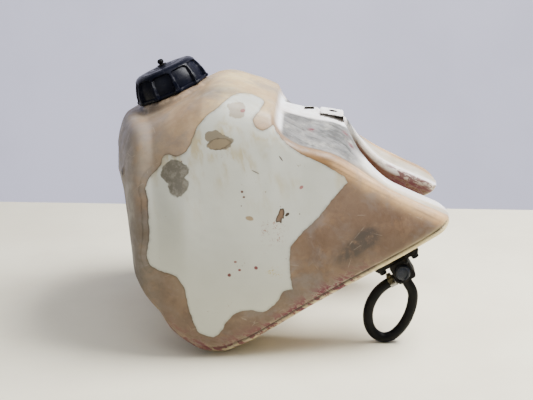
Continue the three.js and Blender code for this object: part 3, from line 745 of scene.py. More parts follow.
def graphic_mesh(skin):
    """The vinyl film: a fine flat sheet, its distances from the torn edge and where its points drop on the
    tank's skin.
    """
    outline = torn_outline()
    chips = [chip_outline(*chip, seed) for seed, chip in enumerate(CHIPS)]
    low, high = outline.min(0), outline.max(0)
    columns = np.arange(low[0], high[0], FILM_PITCH)
    rows = np.arange(low[1], high[1], FILM_PITCH * 0.87)
    grid = np.array([(x + (j % 2) * FILM_PITCH / 2, h) for j, h in enumerate(rows) for x in columns])
    grid = grid[inside(grid, outline) & (edge_distance(grid, outline) > 1.1)]
    for chip in chips:
        grid = grid[~inside(grid, chip) & (edge_distance(grid, chip) > 0.7)]
    loops = [outline, *chips]
    edges, start = [], len(grid)
    for loop in loops:
        edges += [(start + i, start + (i + 1) % len(loop)) for i in range(len(loop))]
        start += len(loop)
    flat = np.vstack([grid, *loops])
    found = delaunay_2d_cdt([Vector(p) for p in flat], edges, [], 0, 1e-5)
    points = np.array([tuple(p) for p in found[0]])
    faces = np.array(found[2])
    centres = points[faces].mean(1)
    keep = inside(centres, outline)
    for chip in chips:
        keep &= ~inside(centres, chip)
    faces = faces[keep]
    return points, faces, edge_distance(points, outline), skin_drop(points, skin)


def skin_drop(points, skin):
    """Each flat point carried straight back on to the tank's left side."""
    tree = BVHTree.FromPolygons([v.co for v in skin.vertices], [p.vertices for p in skin.polygons])
    back = Vector((0, math.cos(GRAPHIC_RISE), -math.sin(GRAPHIC_RISE)))
    up = Vector((0, math.sin(GRAPHIC_RISE), math.cos(GRAPHIC_RISE)))
    places = []
    for x, height in points:
        start = Vector((x, 0, 0)) + up * height - back * 400
        places.append(tree.ray_cast(start, back)[:2])
    return places


def side_graphic(skin):
    """The film as a closed solid: lower face, upper face and a wall along every edge."""
    points, faces, from_edge, places = graphic_mesh(skin)
    used = sorted(set(faces.ravel()))
    number = {old: new for new, old in enumerate(used)}
    base = [places[i][0] + places[i][1] * FILM_GAP for i in used]
    top = [places[i][0] + places[i][1] * (FILM_TOP + EDGE_CURL * math.exp(-from_edge[i] / 3)) for i in used]
    count = len(used)
    lower = [[number[i] for i in face] for face in faces]
    sides = dict.fromkeys((a, b) for face in lower for a, b in zip(face, face[1:] + face[:1]))
    walls = [(a, b, b + count, a + count) for a, b in sides if (b, a) not in sides]
    upper = [[i + count for i in face] for face in lower]
    mesh = new_mesh("graphic", base + top, [face[::-1] for face in lower] + upper + walls)
    mesh = tidy(mesh, merge=False)
    vertex_field(mesh, "edge", np.tile(np.exp(-from_edge[used] / 0.8), 2))
    piece("side_graphic", mesh, Matrix(), "tank", "vinyl", ["side_decal"], sharp=60)


# ---- materials ----------------------------------------------------------------------------------
def shell_plastic():
    """Aged polyethylene: painted fields give the tone, with painted bounce light and painted shade among it;
    noise gives grime, scuffs and scratches.
    """
    m = Paint("shell_plastic")
    m.colour = m.field("tone", "Color")
    m.over(m.times(m.patches((55, 5, 0.62), 0.36, 0.68), 0.42), (0.50, 0.36, 0.24), "MULTIPLY")
    m.over(m.times(m.patches((7, 6, 0.7), 0.3, 0.72), 0.26), (0.50, 0.40, 0.33), "MULTIPLY")
    plain = m.math("SUBTRACT", 1.0, m.field("clean"))
    rust = m.patches((31, 6, 0.68, 0.4), 0.5, 0.66)
    m.over(m.times(rust, plain, 0.24), (0.34, 0.20, 0.10))
    mauve = m.patches((42, 6, 0.66, 0.5, m.place((1, 1, 1), (40, 0, 60))), 0.46, 0.66)
    m.over(m.times(mauve, plain, 0.5), (0.185, 0.160, 0.150))
    streak = m.noise(8, 7, 0.72, 0.3, m.place((0.16, 1, 1.0), (0, -24, 14)))
    smear = m.steps(m.math("ADD", m.times(streak, 0.6), m.times(m.noise(30, 5, 0.7), 0.45)), 0.42, 0.68)
    film = m.steps(smear, 0.0, 1.0, 0.90, 1.0)
    grime_tint = m.mix(smear, (0.125, 0.123, 0.115), (0.045, 0.044, 0.040))
    grime_tint = m.mix(m.patches((22, 5, 0.65), 0.5, 0.7), grime_tint, (0.26, 0.25, 0.22))
    m.over(m.times(m.field("grime"), film), grime_tint)
    m.over(m.times(m.field("dust"), m.patches((16, 8, 0.75), 0.34, 0.54)), (0.060, 0.045, 0.035))
    speck = m.steps(m.cells(9), 0.1, 0.05)
    m.over(m.times(speck, m.patches((40, 2), 0.5, 0.62), 0.55), (0.09, 0.06, 0.045))
    rubbed = m.noise(9, 8, 0.72, 0.6, m.place((0.5, 1, 1.5), (0, -28, 0)))
    m.over(m.times(m.field("scuff"), m.steps(rubbed, 0.42, 0.50), 0.4), (0.32, 0.22, 0.18))
    m.over(m.times(m.field("scuff"), m.steps(rubbed, 0.485, 0.525)), (0.10, 0.010, 0.024))
    hair = m.steps(m.cells(26, m.place((0.35, 1, 1), (0, 35, 20)), "DISTANCE_TO_EDGE"), 0.012, 0.004)
    hair = m.times(hair, m.patches((24, 3), 0.52, 0.6))
    m.over(m.times(hair, 0.22), (0.50, 0.42, 0.32))
    # Dark lines, partly painted shade: in the flank's groove, the holes and the insert's bore; also the
    # bead's lines and the film's edge.
    m.over(m.field("line"), (0.030, 0.021, 0.014))
    m.set(Roughness=m.patches((20, 5, 0.6), 0.3, 0.7, 0.40, 0.62), Specular_IOR_Level=0.42, IOR=1.5,
          Subsurface_Weight=0.06, Subsurface_Radius=(0.004, 0.0025, 0.0015), Subsurface_Scale=1.0)
    m.bump((m.noise(1.4, 3, 0.5), 0.05), (m.noise(11, 5, 0.55), 0.28), (hair, -0.12))
    return m.material


def spot(m, x, height, long, short, angle, soft=0.16, ragged=0.5, size=9):
    """1 inside a ragged oval on the graphic's own plane, 0 outside it."""
    def vector(operation, first, second, output=0):
        second_input = "Scale" if operation == "SCALE" else 1
        inputs = {0: first} if second is None else {0: first, second_input: second}
        return m.node("ShaderNodeVectorMath", inputs, operation=operation).outputs[output]

    flat = m.place((1, 1, 1), (math.degrees(GRAPHIC_RISE), 0, 0))
    wobble = m.node("ShaderNodeTexNoise", {"Vector": flat, "Scale": 1 / size, "Detail": 4.0})
    spread = vector("SUBTRACT", wobble.outputs["Color"], (0.5, 0.5, 0.5))
    moved = vector("ADD", flat, vector("SCALE", spread, ragged * 2 * short))
    back = vector("SUBTRACT", moved, (x, 0, height))
    straight = m.node("ShaderNodeMapping", {"Vector": back, "Rotation": (0, math.radians(angle), 0)})
    oval = vector("MULTIPLY", straight.outputs[0], (1 / long, 0, 1 / short))
    return m.steps(vector("LENGTH", oval, None, "Value"), 1 + soft, 1 - soft)


# Small marks on the vinyl: x, height, half length, half width, turn in degrees, and tint.
MARKS = [
    (-42, 223, 3.0, 2.2, 20, (0.20, 0.055, 0.045)), (3, 169, 3.6, 0.8, -50, (0.10, 0.08, 0.065)),
    (-26, 152, 4.8, 0.75, -25, (0.16, 0.14, 0.11)), (-41, 129, 1.5, 1.5, 0, (0.12, 0.06, 0.045)),
    (-39, 123, 1.5, 1.2, 0, (0.12, 0.06, 0.045)), (-55, 34, 2.1, 1.9, 0, (0.12, 0.025, 0.025)),
    (-24, 43, 2.2, 1.8, 0, (0.15, 0.035, 0.04)), (-43, 40, 1.7, 1.3, 0, (0.17, 0.05, 0.05)),
    (-48, 49, 1.7, 1.2, 0, (0.20, 0.08, 0.07)), (-32, 99, 4.6, 2.4, -10, (0.26, 0.19, 0.11)),
    (27, 137, 2.6, 1.8, 40, (0.30, 0.13, 0.12)), (12, 106, 1.8, 1.5, 0, (0.06, 0.035, 0.03)),
]


def vinyl():
    """Weathered white film: yellowed streaks, torn patches of grey glue, nicks and a darker edge."""
    m = Paint("vinyl", (0.46, 0.465, 0.405))
    m.over(m.times(m.patches((70, 4, 0.55), 0.35, 0.7), 0.4), (0.54, 0.545, 0.49))
    runs = m.patches((13, 5, 0.6, 0.0, m.place((1, 1, 0.22), (0, 12, 0))), 0.46, 0.62)
    high = m.steps(m.node("ShaderNodeSeparateXYZ", {0: m.place()}).outputs[2], 150, 285)
    m.over(m.times(runs, m.patches((45, 3), 0.38, 0.58), high, 0.8), (0.36, 0.275, 0.12))
    m.over(m.times(m.patches((24, 6, 0.7), 0.55, 0.75), 0.22), (0.40, 0.40, 0.36))
    grey = m.math("MAXIMUM", spot(m, -119, 150, 17, 14.5, 0, 0.05, 0.42, 14),
                  spot(m, -115, 134, 11.5, 12.5, 0, 0.08, 0.45, 11))
    m.over(grey, m.mix(m.patches((9, 6, 0.7), 0.42, 0.66), (0.112, 0.100, 0.076), (0.205, 0.188, 0.150)))
    brown = m.math("MAXIMUM", spot(m, -73, 189, 11, 8, 0, 0.06, 0.6, 9),
                   spot(m, -67, 183, 16, 8, 14, 0.06, 0.6, 9))
    m.over(brown, (0.190, 0.158, 0.108))
    m.over(m.times(spot(m, -68, 182, 14.4, 6.2, 12, 0.12, 0.6, 8), brown), (0.085, 0.062, 0.040))
    m.over(m.times(spot(m, -68, 182, 13, 5.2, 12, 0.12, 0.6, 8), brown), (0.21, 0.162, 0.098))
    m.over(m.times(spot(m, -49, 224, 10, 11, 25, 0.1, 0.6, 10), 0.8), (0.24, 0.19, 0.125))
    stains = m.times(m.patches((5.5, 6, 0.75), 0.62, 0.68), m.patches((34, 2), 0.53, 0.62))
    m.over(m.times(stains, 0.8), (0.24, 0.17, 0.10))
    nick = m.times(m.steps(m.cells(13), 0.075, 0.045), m.patches((50, 2), 0.5, 0.58))
    m.over(m.times(nick, 0.85), (0.10, 0.045, 0.04))
    for *mark, tint in MARKS:
        m.over(spot(m, *mark, 0.2, 0.35, 5), tint)
    worn = m.patches((3.6, 7, 0.8), 0.55, 0.6)
    m.over(m.times(spot(m, -4, 84, 13, 15, 0, 0.5, 0.3), worn), (0.27, 0.12, 0.08))
    m.over(m.times(spot(m, -2, 38, 9, 7, 0, 0.4, 0.3), worn), (0.42, 0.33, 0.10))
    m.over(m.times(m.field("edge"), 0.5), (0.14, 0.12, 0.09))
    m.set(Roughness=m.patches((30, 5, 0.6), 0.3, 0.7, 0.34, 0.55), Specular_IOR_Level=0.45)
    m.bump((m.noise(2.2, 3, 0.5), 0.03), (m.noise(26, 4, 0.5), 0.22), (stains, -0.12),
           (m.math("MAXIMUM", grey, brown), -0.25))
    return m.material


def moulded_black(name, colour, rough, dust, scratch, gloss):
    """Black moulded plastic with dull rubs, patches of dust and fine scratches."""
    m = Paint(name, colour)
    m.over(m.times(m.patches((12, 5, 0.65), 0.4, 0.72), 0.45), tuple(c * 2.2 + 0.003 for c in colour))
    m.over(m.times(m.patches((1.6, 6, 0.8), 0.58, 0.72), m.patches((18, 3), 0.42, 0.66), dust),
           (0.30, 0.27, 0.22))
    lines = m.steps(m.cells(7, m.place((1, 0.4, 1), (20, 30, 40)), "DISTANCE_TO_EDGE"), 0.02, 0.005)
    lines = m.times(lines, m.patches((9, 2), 0.5, 0.6), scratch)
    m.over(m.times(lines, 0.4), (0.20, 0.20, 0.21))
    m.set(Roughness=m.patches((7, 5, 0.6), 0.3, 0.75, rough, rough + 0.16), Specular_IOR_Level=gloss)
    m.bump((m.noise(0.8, 3, 0.6), 0.025), (lines, -0.05))
    return m.material


def casting():
    """Black painted die casting, chipped to bare metal here and there."""
    m = Paint("tap_casting", (0.004, 0.004, 0.0045))
    grain = m.noise(0.7, 4, 0.65)
    chips = m.times(m.patches((2.1, 7, 0.75), 0.66, 0.69), m.patches((8, 2), 0.5, 0.62))
    m.over(m.patches((5, 5, 0.7), 0.4, 0.7), (0.018, 0.0165, 0.016))
    m.over(m.times(m.patches((3, 6, 0.8), 0.5, 0.75), 0.12), (0.20, 0.17, 0.13))
    m.over(chips, (0.38, 0.37, 0.34))
    m.set(Metallic=m.times(chips, 0.9), Roughness=m.steps(grain, 0.3, 0.7, 0.66, 0.84),
          Specular_IOR_Level=0.14)
    m.bump((grain, 0.06), (chips, -0.06))
    return m.material


def rubber(name, colour, rough):
    """Perished black rubber with fine crazing and brown dust."""
    m = Paint(name, colour)
    crazing = m.steps(m.cells(1.8, feature="DISTANCE_TO_EDGE"), 0.05, 0.01)
    crazing = m.times(crazing, m.patches((9, 3), 0.45, 0.65))
    m.over(m.times(m.patches((14, 6, 0.7), 0.5, 0.72), 0.65), (0.008, 0.0055, 0.004))
    m.over(m.times(m.patches((1.2, 5, 0.8), 0.6, 0.75), m.patches((20, 3), 0.4, 0.65), 0.07),
           (0.16, 0.145, 0.13))
    m.set(Roughness=m.patches((6, 4), 0.3, 0.7, rough - 0.1, rough + 0.15), Specular_IOR_Level=0.12)
    m.bump((m.noise(0.9, 4, 0.6), 0.05), (crazing, -0.06))
    return m.material


def metal(name, colour, tarnish, rough, amount):
    """Plated metal with tarnish and fine brushing."""
    m = Paint(name, colour)
    dull = m.times(m.patches((2.4, 6, 0.72), 0.42, 0.68), amount)
    m.over(dull, tarnish)
    m.set(Metallic=1.0, Roughness=m.patches((1.5, 4), 0.3, 0.7, rough, rough + 0.25))
    m.bump((m.noise(0.5, 3, 0.6, vector=m.place((1, 0.08, 1))), 0.02), (dull, 0.02))
    return m.material


def soft_plastic(name, colour, shade):
    """Natural nylon with a fine woven grain."""
    m = Paint(name, colour)
    m.over(m.patches((4, 5, 0.65), 0.35, 0.7), shade)
    m.set(Roughness=0.5)
    m.bump((m.cells(0.9, feature="DISTANCE_TO_EDGE"), 0.08))
    return m.material


# Colours are linear red, green and blue; each material is named like its slot in the record.
MATERIALS = {
    "shell_plastic": shell_plastic(),
    "vinyl": vinyl(),
    "cap_plastic": moulded_black("cap_plastic", (0.0014, 0.0019, 0.0058), 0.26, 0.02, 0.3, 0.10),
    "tap_casting": casting(),
    "knob_plastic": moulded_black("knob_plastic", (0.009, 0.0115, 0.019), 0.3, 0.05, 0.5, 0.25),
    "rubber": rubber("rubber", (0.0035, 0.0035, 0.004), 0.55),
    "hose_rubber": rubber("hose_rubber", (0.0022, 0.0022, 0.0026), 0.42),
    "steel": metal("steel", (0.34, 0.33, 0.31), (0.035, 0.032, 0.028), 0.18, 0.92),
    "black_steel": moulded_black("black_steel", (0.004, 0.004, 0.004), 0.4, 0.1, 0.5, 0.18),
    "clamp_fitting": metal("clamp_fitting", (0.10, 0.088, 0.055), (0.03, 0.026, 0.018), 0.36, 0.85),
    "brass": metal("brass", (0.40, 0.29, 0.13), (0.08, 0.055, 0.03), 0.32, 0.7),
    "nylon": soft_plastic("nylon", (0.72, 0.70, 0.60), (0.55, 0.50, 0.38)),
}

# ---- fuel hose: the CAD's route -------------------------------------------------------------------
HOSE_RADIUS, HOSE_BORE = 6.3, 4.2
HOSE_ROUTE = [
    (143.7, -93, 85.2), (135.5, -93, 80.2), (130.6, -93.1, 77), (122.4, -93.3, 69), (115.4, -93.3, 57.5),
    (111.6, -93, 45.5), (110.8, -92.6, 33.5), (113.2, -92.2, 21.5), (119.8, -91.8, 11.4),
    (129.8, -91.4, 6.3), (140.4, -91, 8.4), (149.8, -90.4, 16.4), (157.2, -89.6, 27.4),
    (162.4, -88.6, 40), (165.2, -87.7, 52.6), (165.4, -87.1, 63.6), (163.2, -87, 70.6), (160.4, -87, 75.3),
    (157.5, -87, 80.1), (154.7, -87, 84.8),
]


def smooth_route(points, pitch=1.5):
    """Centripetal Catmull-Rom through the points."""
    p = [Vector(q) for q in points]
    p = [2 * p[0] - p[1], *p, 2 * p[-1] - p[-2]]
    line = []
    for a, b, c, d in zip(p, p[1:], p[2:], p[3:]):
        t1 = (b - a).length ** 0.5
        t2 = t1 + (c - b).length ** 0.5
        t3 = t2 + (d - c).length ** 0.5
        for t in np.linspace(t1, t2, max(2, round((c - b).length / pitch)), endpoint=False):
            ab, bc, cd = a.lerp(b, t / t1), b.lerp(c, (t - t1) / (t2 - t1)), c.lerp(d, (t - t2) / (t3 - t2))
            first, second = ab.lerp(bc, t / t2), bc.lerp(cd, (t - t1) / (t3 - t1))
            line.append(first.lerp(second, (t - t1) / (t2 - t1)))
    return [*line, p[-2]]


def hose_mesh(line):
    """Thick-walled tube along the line, with rounded end faces."""
    rings = []
    side = Vector((0, 1, 0))
    angles = np.linspace(0, 2 * math.pi, 40, endpoint=False)

    def ring_at(i, radius, shift=0.0):
        ahead = (line[min(i + 1, len(line) - 1)] - line[max(i - 1, 0)]).normalized()
        across = (side - ahead * side.dot(ahead)).normalized()
        up = ahead.cross(across)
        centre = line[i] + ahead * shift
        return [centre + radius * (across * math.cos(a) + up * math.sin(a)) for a in angles]

    last = len(line) - 1
    rings.append(ring_at(0, HOSE_RADIUS - 0.5))
    rings.append(ring_at(0, HOSE_RADIUS - 0.12, 0.25))
    rings += [ring_at(i, HOSE_RADIUS) for i in range(1, last)]
    rings.append(ring_at(last, HOSE_RADIUS - 0.12, -0.25))
    rings.append(ring_at(last, HOSE_RADIUS - 0.5))
    rings.append(ring_at(last, HOSE_BORE + 0.2))
    rings += [ring_at(i, HOSE_BORE) for i in range(last - 1, 0, -1)]
    rings.append(ring_at(0, HOSE_BORE + 0.2))
    return loft(rings, wrap=True)


hose_line = smooth_route(HOSE_ROUTE)
hose = piece("fuel_hose_tube", hose_mesh(hose_line), Matrix(), "tank", "hose_rubber", ["fuel_hose"])


# ---- tank shell -------------------------------------------------------------------------------------
# Tones of the bare shell in the order in which they are laid over each other, painted light and shade among
# them.
TONES = {
    "crest": (0.62, 0.48, 0.235),
    "flank": (0.178, 0.118, 0.076),
    "low": (0.14, 0.085, 0.055),
    "front": (0.235, 0.20, 0.165),
    "front_low": (0.115, 0.096, 0.076),
    "neck_side": (0.26, 0.20, 0.135),
    "face": (0.31, 0.275, 0.24),
    "face_low": (0.105, 0.082, 0.062),
    "tail_flank": (0.150, 0.096, 0.062),
    "saddle": (0.94, 0.95, 0.97),
    "lobe_top": (0.84, 0.74, 0.54),
    "bead": (0.27, 0.152, 0.058),
    "bead_rear": (0.74, 0.48, 0.24),
    "slot_top": (0.84, 0.80, 0.73),
    # Painted shade: the dark brown lower part of the slot's inner wall.
    "slot_low_shade": (0.15, 0.058, 0.03),
    # Painted bounce light from the pale table: light cream on the lip, a lighter tone on the down-facing
    # underside.
    "lip_bounce_light": (0.92, 0.80, 0.45),
    "underside_bounce_light": (0.42, 0.34, 0.22),
    "ghost": (0.15, 0.125, 0.095),
    # Painted shade: near black on the walls of the holes and under the tab's rim.
    "hole_shade": (0.006, 0.006, 0.006),
}
BARE_TONE = (0.42, 0.30, 0.185)
SCUFFED_SPOTS = ((80, -43, 256), (82, -55, 250), (86, -60, 244), (38, -60, 263))


def inside_holes(points, p):
    """The walls of the seat slot and the tab's bore, and the undercut below the tab's rim, which get painted
    shade.
    """
    seat_slot = (np.hypot(p.x - SEAT_X, p.y) < 10.4) & (p.z < SEAT_TOP - 0.3) & (p.z > 235)
    tab = (np.column_stack([points, np.ones(len(points))]) @ np.array(tab_frame.inverted()).T)[:, :3]
    x, y, z = tab.T
    under_tab = (z < -2.0) & (z > -8.6) & (np.abs(x) < 16.5)
    under_tab &= (y > -19.2) & ((y < -13.0) | ((x > 11.2) & (y < -7.6)))
    tab_bore = (np.hypot(x, y) < 5.8) & (z < -0.5) & (z > -17)
    return seat_slot | under_tab | tab_bore


def shell_tones(mesh):
    """Paints the shell's broad tones as fields on its points, from where each point lies."""
    points, out = coordinates(mesh), normals(mesh)
    p = Places(points)
    outward = out[:, 1] * np.sign(p.side)
    soft, medium = waves(points, 90, 21), waves(points, 34, 22)

    def uneven(part):
        return (1 - part + part * medium).clip(0, 1)

    nose = fade(-p.x + 5 * medium, 128, 168)
    face = fade(-out[:, 0], 0.55, 0.85) * fade(-p.x, 150, 175)
    saddle = fade(p.x, -7, -1) * fade(-p.outside, 5, 13) * fade(out[:, 2], -0.2, 0.1)
    lobe_top = fade(p.x, 84, 100) * fade(out[:, 2], 0.55, 0.8) * fade(p.y, 58, 66)
    bead = hump(p.from_ridge, 4, 11) * fade(p.x, -16, -2) * fade(out[:, 2], -0.3, 0.1)
    bead_share = np.clip(bead * 1.2, 0, 1)
    slot_wall = fade(p.x, 84, 96) * fade(-outward, 0.3, 0.7) * fade(p.y, 30, 36) * fade(-p.y, -56, -50)
    depth = p.guide["spine"][:, 1] - p.z
    under = fade(-out[:, 2], 0.25, 0.6)
    # Painted bounce light: the lip and the down-facing underside are painted lighter, as if the table lit
    # them from below.
    lip_bounce_light = hump(p.above_keel, 3.5, 6.5) * fade(outward + under, 0.15, 0.5) * fade(p.along_x, -110, -60)

    # Distances from the vinyl's edge and its chips, on the graphic's own plane.
    flat = np.column_stack([points[:, 0], graphic_height(points)])
    near = (p.side < -50) & (out[:, 1] < 0.1)
    gap, chip_gap = np.full(len(points), 1e3), np.full(len(points), 1e3)
    gap[near] = edge_distance(flat[near], torn_outline()[::3])
    for seed, chip in enumerate(CHIPS):
        chip_gap[near] = np.minimum(chip_gap[near], edge_distance(flat[near], chip_outline(*chip, seed)))
    left_of_film = fade(-flat[:, 0], 146, 149)
    film_middle = hump(flat[:, 1], 96, 58)
    # Painted shade fills the holes' walls and the gap under the tab.
    shaded_hollows = inside_holes(points, p)

    shares = {
        "crest": fade(p.z + 9 * soft, 272, 316) * fade(p.x, -110, -60),
        "flank": fade(outward, 0.25, 0.75) * fade(-p.z + 8 * soft, -262, -205) * uneven(0.1),
        "low": fade(-p.z + 8 * medium, -120, -30) * 0.7,
        "front": nose * fade(p.z, 20, 70) * fade(-p.z + 5 * medium, -305, -282) * uneven(0.15),
        "front_low": nose * fade(-p.z, -200, -110) * 0.9,
        "neck_side": fade(-p.x, 118, 160) * fade(out[:, 2], 0.2, 0.6) * 0.85,
        "face": face * fade(p.z, 130, 190) * 0.9,
        "face_low": fade(-p.x, 155, 178) * fade(-p.z + 6 * medium, -215, -150) * 0.9,
        "tail_flank": fade(p.x, 5, 50) * fade(outward, 0.15, 0.45) * 0.85,
        "saddle": saddle,
        "lobe_top": lobe_top * uneven(0.2),
        "bead": bead_share,
        "bead_rear": bead_share * fade(p.x + 14 * medium, 62, 100) * 0.9,
        "slot_top": slot_wall * fade(-depth, -22, -14),
        # The slot wall darkens with depth: painted shade.
        "slot_low_shade": slot_wall * fade(depth + 2 * medium, 9, 14),
        "lip_bounce_light": np.clip(lip_bounce_light * 1.3, 0, 1),
        "underside_bounce_light": under * 0.7 * (1 - lip_bounce_light),
        "ghost": near * fade(-gap, -9, -7.5) * left_of_film * film_middle ** 0.5 * 0.75,
        "hole_shade": shaded_hollows * 1.0,
    }
    tone = np.tile(np.array(BARE_TONE), (len(points), 1))
    for name, colour in TONES.items():
        tone = blend(tone, colour, shares[name])
    vertex_field(mesh, "tone", tone)
    # This field keeps stains off the saddle and the slot wall, and off the painted bounce light and the
    # painted shade.
    vertex_field(mesh, "clean", np.clip(saddle + slot_wall + lip_bounce_light + shaded_hollows, 0, 1))

    slope = saddle * fade(-p.outside, 6, 12) * fade(p.y + 2 * medium, 27, 33) * fade(p.x, 0, 5)
    slope = slope * fade(-p.x + 8 * medium, -112, -84)
    valley = lobe_top * hump(p.outside, -26, 15)
    deck_smudge = hump(np.hypot((p.x + 70) / 34, (p.side + 70) / 26), 0, 1) * fade(out[:, 2], 0.4, 0.8)
    vertex_field(mesh, "grime", np.clip(slope + 0.5 * valley + 0.7 * deck_smudge, 0, 1) * ~shaded_hollows)

    smudge = hump(np.hypot((p.x - 91) / 17, (p.z - 139 - 0.6 * (p.x - 91)) / 10), 0, 1)
    smudge = (1.4 * smudge + 1.4 * hump(np.hypot((p.x - 106) / 10, (p.z - 151) / 9), 0, 1)) * (p.side < -90)
    # A darker ring round the cap's foot, where the rim meets the deck.
    cap_foot_ring = hump(np.linalg.norm(points - np.array(neck_frame.translation), axis=1), 46, 9) * 0.7
    low_flank = fade(-p.z + 10 * soft, -185, -60)
    # This field darkens the flank smudges, the front face, the ring round the cap's foot and the lower
    # flank.
    vertex_field(mesh, "dust", np.clip(1.5 * smudge + 0.4 * face + cap_foot_ring + 0.3 * low_flank, 0, 1))

    band = hump(p.above_keel, 11, 14) * fade(outward + under, 0.1, 0.4)
    where = fade(p.along_x, -195, -150) * fade(-p.along_x, -150, 10) * 0.9 + hump(p.along_x, 60, 38)
    scuff = band * where + 0.8 * slot_wall * fade(p.x, 120, 150)
    specks = np.zeros(len(points))
    for spot_centre in SCUFFED_SPOTS:
        specks = np.maximum(specks, hump(np.linalg.norm(points - spot_centre, axis=1), 0, 4))
    vertex_field(mesh, "scuff", np.clip(scuff + 1.4 * specks, 0, 1))

    # Painted shade: a dark line in the groove along the flank's lower edge.
    groove = 1.2 * hump(p.above_keel, p.groove_height, 1.5) * fade(outward, 0.2, 0.5)
    groove = groove * fade(p.along_x, -100, -20)
    bead_lines = (hump(p.from_ridge, 10.5, 1.3) + 0.7 * hump(p.from_ridge, 4.5, 0.9)) * fade(p.x, -8, 6)
    bead_lines = bead_lines * fade(out[:, 2], 0, 0.4)
    # A dark line along the film's outline and round its chips, stronger towards the front and the top.
    strong_edge_side = 0.25 + 0.75 * np.maximum(fade(-flat[:, 0], 70, 110), fade(flat[:, 1], 150, 190))
    film_edge_dark = np.exp(-(gap / 1.1) ** 2) * 0.75 * strong_edge_side + np.exp(-(chip_gap / 1.2) ** 2)
    film_edge_dark = film_edge_dark + 0.5 * near * np.exp(-((gap - 8.2) / 0.8) ** 2) * left_of_film * film_middle
    # Painted shade: a dark spot in the bore at the front insert.
    insert_spot = np.linalg.norm(points - (INSERT["x"], -INSERT["y"], INSERT["z"]), axis=1)
    line = groove * (0.8 + 0.2 * medium) + 0.5 * bead_lines * (0.7 + 0.5 * medium) + film_edge_dark
    vertex_field(mesh, "line", np.clip(line + 1.5 * hump(insert_spot, 0, 5) + shaded_hollows, 0, 0.97))


def tank_shell():
    """Makes the hollow shell, and returns its outer surface before any hole is cut."""
    body = shell_body()
    cavity = modified(both_halves(WALL, NOSE_X + WALL + 1, 172, 5, 5), "REMESH", mode="VOXEL",
                      voxel_size=4, adaptivity=0)
    smoothed(cavity, 4)
    radius = NECK["outer"]
    neck = turned([[0, -9], [radius, -9], [radius, 18.8], [radius - 0.8, 20], [0, 20]], 96)
    ridge = placed(thread(30.5, 32.6, 5), neck_frame)
    stem = placed(prism(flange(16, 10, TAP_BOLT), 0.02, 15), tap_frame)
    slot = union(prism(rounded(-6, 6, -7.4, 7.4, 1.8), -34, 3),
                 prism(rounded(-6.4, 6.4, -7.8, 7.8, 2.1), -0.4, 3))
    undercut = union(block(-15, 4, -19, -14.6, -3.7, -2.6), block(3, 15, -19, -13.4, -5, -2.2),
                     block(11.6, 15, -19, -8, -8, -2.3))
    # A hole's wall has points only at its rims, so a small ledge below each rim lets the painted shade
    # darken it.
    bores = [
        placed(rod(NECK["bore"], -30, 21, 96), neck_frame),
        placed(rod(8, -1, 30), tap_frame),
        placed(union(rod(5.3, -15, 3), rod(5.7, -0.6, 3)), tab_frame),
        placed(slot, move(SEAT_X, 0, SEAT_TOP)),
        placed(undercut, tab_frame),
    ]
    for side in (-1, 1):
        bores.append(placed(union(rod(2.6, -3, 4), rod(4.3, 3, 12.3)), insert_frame(side)))
    bores += [placed(rod(4.9, -1, 11.3), tap_frame @ move(side * TAP_BOLT, 0, 0)) for side in (-1, 1)]
    shell = cut(union(cut(body, cavity), placed(neck, neck_frame), ridge, stem), *bores)
    shell_tones(shell)
    piece("shell", shell, Matrix(), "tank", "shell_plastic", ["tank_shell", "seat_insert"], sharp=50)
    return body


side_graphic(tank_shell())


# ---- filler cap -------------------------------------------------------------------------------------
SCALLOPS = 10
CAP_SIDES = SCALLOPS * 36
SKIRT_FOOT, SKIRT_TAPER, SKIRT_HEIGHT = 48.0, 9.2, 28.6
ARCH_FOOT, ARCH_TOP, SCOOP_DEPTH = 21.5, 27.2, 5.4
CAP_CEILING, CAP_BORE = 24, 33.6


CAP_ANGLES = np.linspace(0, 2 * math.pi, CAP_SIDES, endpoint=False)
FROM_MIDDLE = 1 - np.abs((CAP_ANGLES * SCALLOPS / math.pi + 1) % 2 - 1)  # 0 in a scoop, 1 on a rib


def cap_circle(radius, height):
    """Ring round the cap's axis; radius is a number or one value for each angle."""
    return np.column_stack([radius * np.cos(CAP_ANGLES), radius * np.sin(CAP_ANGLES),
                            np.full(CAP_SIDES, height)])


def cap_ring(radius, height, depth=0.0, rib=0.0):
    """Ring with a wavy edge: depth is the hollow between two ribs, rib a rib's share of the pitch."""
    across = np.clip(FROM_MIDDLE / (1 - rib), 0, 1)
    return cap_circle(radius - depth * np.sqrt(1 - across ** 2.6), height)


def skirt_ring(height):
    """Ring of the barrel-shaped skirt, where each scoop ends in an arch below the cap's shoulder."""
    radius = SKIRT_FOOT - SKIRT_TAPER * (height / SKIRT_HEIGHT) ** 1.9
    rib = 0.17 * (1 - height / SKIRT_HEIGHT) + 0.02
    across = np.clip(FROM_MIDDLE / (1 - rib), 0, 1)
    arch = ARCH_FOOT + (ARCH_TOP - ARCH_FOOT) * (1 - across ** 3) ** (1 / 3)
    inside_arch = np.clip((arch - height) / 1.2, 0, 1)
    side_wall = np.clip((1 - across) / 0.1, 0, 1)
    floor = (0.8 + 0.2 * np.sqrt(1 - across ** 2)) * (1 - 0.4 * height / SKIRT_HEIGHT)
    return cap_circle(radius - SCOOP_DEPTH * np.minimum(inside_arch, side_wall) * floor, height)


